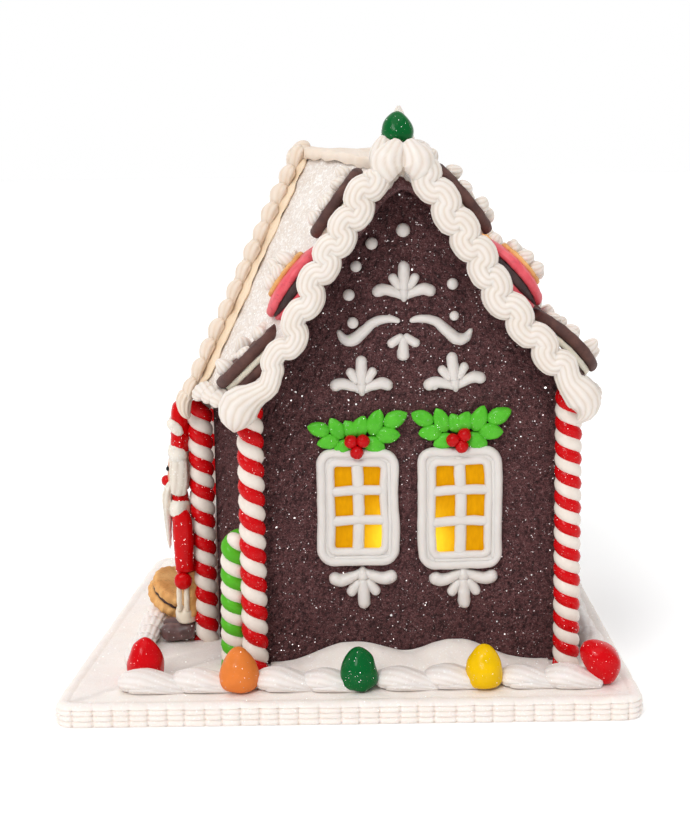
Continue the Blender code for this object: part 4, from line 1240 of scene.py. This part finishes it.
def make_motifs():
    """White icing flowers, swooshes and dots on both gable walls."""
    shapes = motif(29.4, 197.4, 1, 0, 200) + motif(8.3, 151.5, 1, 0, 210) + motif(54.2, 152.8, 1, 7, 220)
    shapes += motif(7.8, 58.0, -1, 2, 230, 1.11) + motif(58.1, 57.5, -1, 2, 240, 1.11)
    for side, x, tip in ((-1, 28.0, 0.4), (1, 31.4, 0.0)):
        rows = [(0.5, 0.3, 2.0), (6, 1.6, 3.9), (13.5, 0.2, 4.6), (19.5, -4.6, 5.6), (24.5, -8.4, 6.2), (29, -8.0, 5.0),
                (32.3, -3.6, 1.6)]
        shapes.append(stroke([(x + side * u * 0.96, 184.2 + v, w) for u, v, w in rows], 250 + side))
    shapes.append(stroke([(29.0, 177.6, 3.4), (28.9, 171, 5.4), (28.8, 165.2, 7.2)], 260))
    for side in (-1, 1):
        shapes.append(stroke([(29.0, 177.8, 3.2), (29.0 + side * 4, 175.0, 4.4), (29.0 + side * 7.6, 172.6, 4.6)], 261 + side))
    piece("icing_motifs", both_sides(join(shapes)), LOOKS["line"], "window_icing")
    dots = [(29.1, 228.7, 3.4), (13.9, 222.5, 3.0), (6.2, 211.6, 2.8), (2.6, 197.8, 2.9), (4.4, 184.2, 2.8),
            (52.9, 202.5, 2.8), (53.7, 187, 2.4), (44.0, 152.6, 2.0)]
    beads = [ball((x, -WALL_Y - 0.5 * r, z), r, 16, (1, 0.85, 1)) for x, z, r in dots]
    piece("icing_dots", both_sides(join(beads)), LOOKS["line"], "window_icing")


def rounded_loop(x1, x2, z1, z2, corner, y, per_side=12):
    """Closed rounded rectangle on the wall."""
    points = []
    centres = ((x2 - corner, z2 - corner, 0), (x1 + corner, z2 - corner, 1), (x1 + corner, z1 + corner, 2),
               (x2 - corner, z1 + corner, 3))
    for k, (cx, cz, quarter) in enumerate(centres):
        for step in range(7):
            angle = math.pi / 2 * (quarter + step / 6)
            points.append((cx + corner * math.cos(angle), y, cz + corner * math.sin(angle)))
        nx, nz, _ = centres[(k + 1) % 4]
        last = np.array(points[-1])
        angle = math.pi / 2 * (quarter + 1)
        following = np.array([nx + corner * math.cos(angle), y, nz + corner * math.sin(angle)])
        for step in range(1, per_side):
            points.append(tuple(last + (following - last) * step / per_side))
    return np.array(points)


# muntin centre lines of each window as shares of its inner width and height
MUNTINS = (0.49, (0.325, 0.672))


def make_window(node, lamp_x, seed):
    """Piped double frame, glazing bars and amber panes."""
    low, high = box(node)
    y = -WALL_Y
    tubes = []
    for inset, radius, corner, lift in ((2.3, 2.35, 6.0, 1.6), (7.0, 2.1, 3.4, 1.6)):
        path = rounded_loop(low[0] + inset, high[0] - inset, low[2] + inset, high[2] - inset, corner, y - lift)
        wobble = ripple(path, 30, seed) * 0.35
        path = path + np.column_stack([wobble, 0 * wobble, -wobble])
        tubes.append(piped(path, radius, radius, (0, -1, 0), sides=14, loop=True))
    flat = rounded_loop(low[0] + 4.6, high[0] - 4.6, low[2] + 4.6, high[2] - 4.6, 5.0, y - 1.0)
    tubes.append(piped(flat, 3.8, 1.5, (0, -1, 0), sides=12, loop=True))
    right = high[0] - 4.6
    tubes.append(piped(smooth([(right, y - 2.2, low[2] + 3), (right + 0.4, y - 2.3, (low[2] + high[2]) / 2),
                               (right - 0.2, y - 2.2, high[2] - 6)], 30), 1.25 * tapered(30, 0.03, 0.05),
                       1.25 * tapered(30, 0.03, 0.05), (0, -1, 0), sides=12))
    tubes.append(piped(smooth([(low[0] + 8, y - 2.2, low[2] + 4.4), ((low[0] + high[0]) / 2, y - 2.3, low[2] + 4.5),
                               (high[0] - 0.8, y - 2.2, low[2] + 5.0)], 30), 1.15 * tapered(30, 0.05, 0.03),
                       1.15 * tapered(30, 0.05, 0.03), (0, -1, 0), sides=12))
    x1, x2, z1, z2 = low[0] + 9.3, high[0] - 8.9, low[2] + 9.2, high[2] - 7.0
    middle = x1 + (x2 - x1) * MUNTINS[0]
    bars = [[(middle, y - 1.2, z1 - 2), (middle + 0.5, y - 1.3, (z1 + z2) / 2), (middle - 0.2, y - 1.2, z2 + 2)]]
    for share in MUNTINS[1]:
        z = z1 + (z2 - z1) * share
        bars.append([(x1 - 1.5, y - 1.7, z - 0.4), (middle, y - 1.9, z + 0.5), (x2 + 1.5, y - 1.7, z + 0.2)])
    for rows, width in zip(bars, (2.9, 2.5, 2.5)):
        tubes.append(piped(smooth(rows, 18), width, 1.9, (0, -1, 0), sides=14))
    shape = uneven(join(tubes), 0.1, 6, seed)
    name = node.replace("window", "window_frame")
    piece(name, shape, LOOKS["line"], "window_icing", node)
    piece(name + "_far", shape.far(), LOOKS["line"], "window_icing")
    # painted lamp light: the panes glow most near this point inside the house, where no lamp is built
    lamp = np.array([lamp_x, y, z1 + 3])
    grid_x, grid_z = np.linspace(x1 - 1, x2 + 1, 20), np.linspace(z1 - 1, z2 + 1, 30)
    front = np.array([[(x, y - 0.5, z) for x in grid_x] for z in grid_z])
    index = np.arange(600).reshape(30, 20)
    quads = np.stack([index[:-1, :-1], index[:-1, 1:], index[1:, 1:], index[1:, :-1]], -1)
    distance = np.linalg.norm(front.reshape(-1, 3) - lamp, axis=1)
    bright = np.exp(-((distance / 21.0) ** 4))
    sheet = Shape(front, quads, (), bright)
    piece(node.replace("window", "window_panes"), both_sides(sheet), LOOKS["pane"], "gumdrop_yellow")


# five leaves of half a sprig: tip x, tip z, base x, base z
LEAVES = ((24.3, 8.7, 13.2, 5.6), (13.0, 12.6, 6.6, 2.2), (5.8, 11.2, 0.4, 2.8), (19.5, -0.4, 8.6, 2.0), (11.6, -5.1, 2.8, 0.4))


def leaf(base, tip, width, seed):
    """Plump pointed leaf with a crease down its middle, lying on the wall."""
    random = np.random.default_rng(seed)
    base, tip = np.asarray(base, float), np.asarray(tip, float)
    along = tip - base
    length = np.linalg.norm(along)
    along = along / length
    across = np.array([-along[1], along[0]])
    u = np.linspace(0, 1, 17)
    shape_u = np.sin(math.pi * np.clip(u, 0, 1) ** 0.85) ** 0.6
    half = width / 2 * np.maximum(shape_u, 0.03)
    angle = TURN * np.arange(24) / 24
    rings = []
    tints = []
    for k, t in enumerate(u):
        side = np.cos(angle) * half[k]
        crease = np.exp(-((side / 0.55) ** 2)) * (np.sin(angle) > 0)
        height = np.sin(angle) * half[k] * 0.62 - crease * min(0.55, half[k] * 0.3) + 0.4
        spot = base + along * length * t
        xz = spot + across * side[:, None]
        rings.append(np.column_stack([xz[:, 0], -WALL_Y - 1.4 - height + 0 * side, xz[:, 1]]))
        tints.append(crease)
    return uneven(skin(rings, np.array(tints)), 0.12, 3, seed)


def make_holly():
    """Holly sprigs with three berries over the windows."""
    leaves = []
    berries = []
    seed = 300
    for x, z, left, right in ((5.6, 124.8, 0, 11), (56.2, 126.4, 9, 9)):
        for side, turn, scale in ((-1, left, 1.0 if x < 30 else 1.05), (1, right, 1.12)):
            c, s = math.cos(math.radians(turn)), math.sin(math.radians(turn))
            for tip_x, tip_z, base_x, base_z in LEAVES:
                ends = []
                for px, pz in ((base_x, base_z), (tip_x, tip_z)):
                    ends.append((x + side * scale * (px * c - pz * s), z + scale * (px * s + pz * c)))
                leaves.append(leaf(ends[0], ends[1], 7.6 * scale, seed))
                seed += 1
        for dx, dz in ((-2.9, 1.2), (3.0, 1.5), (-0.1, -4.2)) if x < 30 else ((-3.4, -0.2), (2.2, 2.2), (0.9, -3.4)):
            berries.append(uneven(ball((x + dx, -WALL_Y - 4.6, z + dz), 3.4, 16), 0.12, 3, seed))
            seed += 1
    leaf_shape, berry_shape = join(leaves), join(berries)
    piece("holly_leaves", both_sides(leaf_shape), LOOKS["leaf"], "green_white_candy")
    piece("holly_berries", both_sides(berry_shape), LOOKS["berry"], "gumdrop_red")
    return leaf_shape


# the door side

def loft(levels, sides=32):
    """Upright closed shape through ellipses: z, x, y, half width in X, half width in Y."""
    rows = smooth(levels, 8 * len(levels))
    angle = TURN * np.arange(sides) / sides
    rings = [np.column_stack([x + wide * np.cos(angle), y + deep * np.sin(angle), z + 0 * angle])
             for z, x, y, wide, deep in rows]
    return skin(rings)


def limb(rows, flat=1.0, ridges=0, depth=0.0, ends=(0.1, 0.1)):
    """Rounded clay roll whose rows are x, y, z and half width in X; flat scales it in Y."""
    curve = smooth(rows, 22)
    round_off = tapered(22, *ends)
    return piped(curve[:, :3], curve[:, 3] * round_off, curve[:, 3] * round_off * flat, (0, -1, 0), ridges, depth,
                 ridges * 4 if ridges else 18, 0.8 if ridges else 0.0)


def make_figure():
    """Bearded figure in a long red coat, hat and boots, standing guard beside the door."""
    low, high = box("figure")
    y = (low[1] + high[1]) / 2
    coat = loft([(46, -86, y, 2.0, 4.0), (48.5, -86.2, y, 4.4, 7.6), (60, -86.6, y, 4.7, 8.2), (76, -87, y, 4.9, 8.6),
                 (86, -87.2, y, 4.6, 8.0), (91, -87.4, y, 4.0, 6.6), (94, -87.6, y, 2.4, 4.0)])
    hat = loft([(113.5, -86.4, y, 4.4, 6.4), (118, -86.4, y, 4.9, 7.0), (126, -86.2, y, 4.8, 6.7),
                (134, -86.0, y, 4.5, 5.9), (138.3, -85.8, y, 3.5, 4.5), (140, -85.6, y, 1.0, 1.4)])
    reds = [coat, hat]
    mittens = [ball((-94.2, y, 97.4), 2.7, 20, (0.95, 1.1, 1.1))]
    fur = [loft([(79.5, -87.4, y, 4.6, 9.8), (81, -87.5, y, 5.6, 11.0), (85.5, -87.5, y, 5.4, 10.8), (88, -87.5, y, 4.0, 8.4)]),
           loft([(110, -87.6, y, 4.4, 6.6), (112.5, -87.8, y, 5.2, 7.6), (116, -87.4, y, 4.8, 7.2), (117.5, -87, y, 3.6, 6.0)])]
    trims = []
    boots = []
    for side in (-1, 1):
        reds.append(limb([(-86.2, y + side * 8.0, 84, 3.6), (-85.4, y + side * 9.0, 76, 5.0), (-85.2, y + side * 9.2, 62, 5.0),
                          (-85.2, y + side * 9.0, 49.4, 4.8)], 0.6, ends=(0.1, 0.03)))
        mittens.append(ball((-86.2, y + side * 9.0, 45.4), 4.5, 22, (1.05, 0.75, 1.05)))
        fur.append(limb([(-87.2, y + side * 6.4, 113, 4.0), (-87.0, y + side * 7.2, 106, 4.7), (-86.9, y + side * 7.2, 97, 4.6),
                         (-87.4, y + side * 6.8, 90.5, 4.0)], 0.55, 7, 0.06, (0.12, 0.1)))
        fur.append(ball((-87.0, y + side * 6.4, 111.6), 4.6, 24, (1.0, 0.75, 1.0)))
        fur.append(limb([(-92.0, y + side * 4.4, 130.0, 1.2), (-89.8, y + side * 6.2, 128.4, 2.6),
                         (-86.8, y + side * 6.9, 125.4, 2.8), (-85.0, y + side * 7.0, 122.6, 1.6)], 0.7))
        for x in (-88.6, -84.8):
            trims.append(limb([(x, y + side * 7.6, 43, 1.3), (x, y + side * 8.2, 36, 1.5), (x, y + side * 8.2, 28, 1.4)], 1.0))
        boots.append(limb([(-80.6, y + side * 4.8, 17.2, 3.4), (-84.5, y + side * 4.9, 17.2, 4.8),
                           (-90, y + side * 5.0, 16.2, 4.6), (-95.5, y + side * 5.2, 16.0, 5.0),
                           (-99.4, y + side * 5.3, 15.6, 3.6)], 1.0, ends=(0.15, 0.15)))
    for k, across in enumerate(np.linspace(-4.2, 4.2, 7)):
        drop = 34 - abs(across) * 3.4
        fur.append(limb([(-91.2, y + across * 0.9, 98, 1.4), (-93.4, y + across * 1.05, 92, 2.4),
                         (-93.9, y + across * 0.9, 94 - drop * 0.5, 2.2), (-93.6, y + across * 0.5, 94 - drop, 0.7)],
                        1.0, 5, 0.15, (0.1, 0.06)))
    red = uneven(join(reds), 0.15, 6, 401)
    piece("figure_coat", red, LOOKS["coat"], "figure_red", "figure")
    piece("figure_mittens", uneven(join(mittens), 0.1, 4, 405), LOOKS["coat"], "figure_red")
    piece("figure_beard_and_fur", uneven(join(fur), 0.14, 2.5, 402), LOOKS["fur"], "window_icing")
    face = loft([(92, -88.6, y, 3.9, 5.0), (97, -89.0, y, 4.4, 5.5), (104, -88.9, y, 4.4, 5.5), (111, -88.4, y, 4.0, 5.4)])
    piece("figure_face", face, candy_look("skin_look", srgb(226, 176, 150), 0.4), "window_icing")
    eyes = [ball((-92.6, y + side * 2.3, 104.2), 1.4, 16) for side in (-1, 1)]
    piece("figure_eyes", join(eyes), LOOKS["black"], "dark_filling")
    hem = loft([(21.0, -85.7, y, 3.8, 7.0), (22.6, -85.8, y, 5.6, 9.4), (27.5, -85.8, y, 5.6, 9.2), (30.4, -85.6, y, 4.0, 7.6)])
    piece("figure_hem", uneven(join([hem] + trims), 0.14, 4, 403), LOOKS["ivory"], "window_icing")
    robe = loft([(24, -83.5, y, 3.4, 6.8), (27, -83.4, y, 4.6, 7.6), (40, -83.4, y, 4.6, 7.6), (49, -84.0, y, 4.2, 7.0)])
    piece("figure_robe", uneven(robe, 0.15, 5, 406), LOOKS["tan"], "tan_cookie")
    boots = uneven(join(boots), 0.2, 4, 404)
    boots.points[:, 2] = np.maximum(boots.points[:, 2], low[2] - 0.2)
    piece("figure_boots", boots, LOOKS["boot"], "dark_filling")
    return red, boots


def make_step_cookie():
    """Crimped sandwich cookie leaning on the door-side border."""
    lean, tip = math.radians(27), math.radians(-17)
    radius = 16.6
    spot = np.array([-96.2, -0.5, 21.2])
    turn = np.array([[math.cos(lean), 0, math.sin(lean)], [0, 1, 0], [-math.sin(lean), 0, math.cos(lean)]])
    turn = np.array([[1, 0, 0], [0, math.cos(tip), math.sin(tip)], [0, -math.sin(tip), math.cos(tip)]]) @ turn

    def place(shape):
        return shape.moved(lambda p: p @ turn.T + spot)

    halves = [place(layer(radius, 0.0, 5.3, 0.0, 0.022, 132)), place(layer(radius, 7.0, 12.4, 0.9, 0.022, 132))]
    piece("step_biscuit", uneven(join(halves), 0.16, 4, 411), LOOKS["tan"], "tan_cookie", "step_cookie")
    piece("step_filling", uneven(place(layer(radius - 1.3, 4.8, 7.6)), 0.3, 3, 412), LOOKS["filling"], "dark_filling")


def make_door():
    """Arched plank door with an icing frame in the wall that faces -X."""
    x = HOUSE_LOW[0]
    half, spring, top = 16.0, 62.0, 78.0
    y0 = 1.5
    outline = [(y0 - half, BOARD_TOP + 2), (y0 - half, spring)]
    for step in range(1, 12):
        angle = math.pi - math.pi * step / 12
        outline.append((y0 + half * math.cos(angle), spring + (top - spring) * math.sin(angle)))
    outline += [(y0 + half, spring), (y0 + half, BOARD_TOP + 2)]
    planks = []
    for k in range(5):
        a, b = y0 - half + 6.4 * k + 0.25, y0 - half + 6.4 * (k + 1) - 0.25
        crown = [spring + (top - spring) * math.sqrt(max(0, 1 - ((y - y0) / half) ** 2)) for y in (a, (a + b) / 2, b)]
        rows = []
        for share in np.linspace(0, 1, 24):
            ring = []
            for y, out in ((a, 0.2), (a + 0.6, 1.1), ((a + b) / 2, 1.5), (b - 0.6, 1.1), (b, 0.2), ((a + b) / 2, -0.5)):
                ring.append((x - out, y, BOARD_TOP + share * (np.interp(y, (a, (a + b) / 2, b), crown) - BOARD_TOP)))
            rows.append(ring)
        planks.append(skin(rows))
    piece("door_planks", uneven(join(planks), 0.12, 5, 421), LOOKS["door"], "dark_wafer")
    path = smooth([(x - 1.6, y, z) for y, z in outline], 150)
    rim = piped(path, 2.1, 1.9, (-1, 0, 0), sides=16)
    piece("door_frame", uneven(rim, 0.12, 6, 422), LOOKS["line"], "window_icing")
    piece("door_knob", ball((x - 2.6, y0 + 10.5, 42), 2.0, 20), LOOKS["gumdrop_yellow"], "gumdrop_yellow")


# glitter

def make_glitter(board, drifts, borders, walls, roof, pillars, gums, leaves, figure):
    """Loose glitter flakes on every surface that sparkles."""
    def upward(limit):
        return lambda middle, normal: normal[:, 2] > limit

    def wall_side(middle, normal):
        return (np.abs(normal[:, 2]) < 0.5) * 1.0

    piece("glitter_walls", flakes([walls], 0.07, 0.5, 501, wall_side), LOOKS["dark_glitter"], "gingerbread")
    piece("glitter_wall_sparks", flakes([walls], 0.0028, 1.05, 502, wall_side), LOOKS["glitter"], "gingerbread")
    piece("glitter_roof", flakes([roof], 0.05, 0.45, 503, upward(0.2)), LOOKS["snow_glitter"], "roof_snow")
    snow = flakes([board] + drifts, 0.025, 0.6, 504, upward(0.1))
    piece("glitter_board", snow, LOOKS["snow_glitter"], "board")
    piece("glitter_borders", flakes(borders, 0.02, 0.55, 505, upward(0.0)), LOOKS["snow_glitter"], "icing")
    sweets = flakes(pillars + gums + [leaves, leaves.far()], 0.05, 0.34, 506)
    piece("glitter_sweets", sweets, LOOKS["glitter"], "red_white_candy")
    piece("glitter_figure", flakes(list(figure), 0.05, 0.45, 507), LOOKS["glitter"], "figure_red")


# camera, lights and floor

def make_camera():
    """Camera in front of the gable, a little above the middle, pitched down."""
    pitch, roll = math.atan(264 / 1500), math.radians(0.8)
    forward = np.array([0, math.cos(pitch), -math.sin(pitch)])
    upright = np.array([0, math.sin(pitch), math.cos(pitch)])
    right = np.array([1, 0, 0]) * math.cos(roll) - upright * math.sin(roll)
    up = upright * math.cos(roll) + np.array([1, 0, 0]) * math.sin(roll)
    data = bpy.data.cameras.new("camera")
    data.lens = 1500 * 36 / 828
    camera = bpy.data.objects.new("camera", data)
    place = np.array([0, -803.8, 267.0]) * MM
    rows = np.column_stack([right, up, -forward, place])
    camera.matrix_world = Matrix([*map(tuple, rows), (0, 0, 0, 1)])
    bpy.context.scene.collection.objects.link(camera)
    bpy.context.scene.camera = camera


def sun(name, direction, angle, strength, colour=(1, 1, 1)):
    """Broad, even light that travels along a direction."""
    data = bpy.data.lights.new(name, "SUN")
    data.angle = math.radians(angle)
    data.energy = strength
    data.color = colour
    light = bpy.data.objects.new(name, data)
    light.rotation_mode = "QUATERNION"
    light.rotation_quaternion = Vector(direction).to_track_quat("-Z", "Y")
    bpy.context.scene.collection.objects.link(light)


def make_studio():
    """White floor, surroundings that are white behind the house, and soft lights."""
    world = bpy.data.worlds.new("studio")
    world.use_nodes = True
    nodes, links = world.node_tree.nodes, world.node_tree.links
    parts = nodes.new("ShaderNodeSeparateXYZ")
    links.new(nodes.new("ShaderNodeTexCoord").outputs["Generated"], parts.inputs[0])
    ramp = nodes.new("ShaderNodeValToRGB")
    ramp.color_ramp.elements[0].position = 0.45
    ramp.color_ramp.elements[0].color = (0.50, 0.50, 0.50, 1)
    ramp.color_ramp.elements[1].position = 0.80
    ramp.color_ramp.elements[1].color = (1.0, 1.0, 1.0, 1)
    scale = nodes.new("ShaderNodeMapRange")
    scale.inputs["From Min"].default_value = -1
    links.new(parts.outputs["Y"], scale.inputs["Value"])
    links.new(scale.outputs["Result"], ramp.inputs["Fac"])
    links.new(ramp.outputs["Color"], nodes["Background"].inputs["Color"])
    bpy.context.scene.world = world
    bpy.context.scene.view_settings.view_transform = "Standard"
    sun("key", (0.42, 0.80, -0.75), 25, 1.25)
    sun("top", (0.05, 0.25, -1.0), 50, 0.55)
    floor = bpy.data.meshes.new("floor")
    reach = 14.0
    floor.from_pydata([(-reach, -reach, 0), (reach, -reach, 0), (reach, reach, 0), (-reach, reach, 0)],
                      [], [(0, 1, 2, 3)])
    stand = bpy.data.objects.new("floor", floor)
    recipe = Recipe("floor_look", 0.7)
    recipe.colour(recipe.mix(recipe.noise(400, 2), (0.93, 0.93, 0.93), (0.96, 0.96, 0.96)))
    recipe.set(Emission_Color=(1.0, 1.0, 1.0), Emission_Strength=0.16)
    floor.materials.append(recipe.material)
    bpy.context.scene.collection.objects.link(stand)
    stand.location.z = -0.0002


make_camera()
make_studio()
board_shape = make_board()
drift_shapes = make_drifts()
border_shapes = make_borders()
wall_shape = make_walls()
roof_white = make_roof()
make_rakes()
make_hips()
make_eaves()
make_top()
make_top_ornaments()
pillar_shapes = make_pillars()
make_canes()
gum_shapes = make_gumdrops()
make_cookies()
make_motifs()
make_window("window_left", 30.9, 271)
make_window("window_right", 30.9, 272)
leaf_shape = make_holly()
figure_shapes = make_figure()
make_step_cookie()
make_door()
make_glitter(board_shape, drift_shapes, border_shapes, wall_shape, roof_white, pillar_shapes, gum_shapes,
             leaf_shape, figure_shapes)
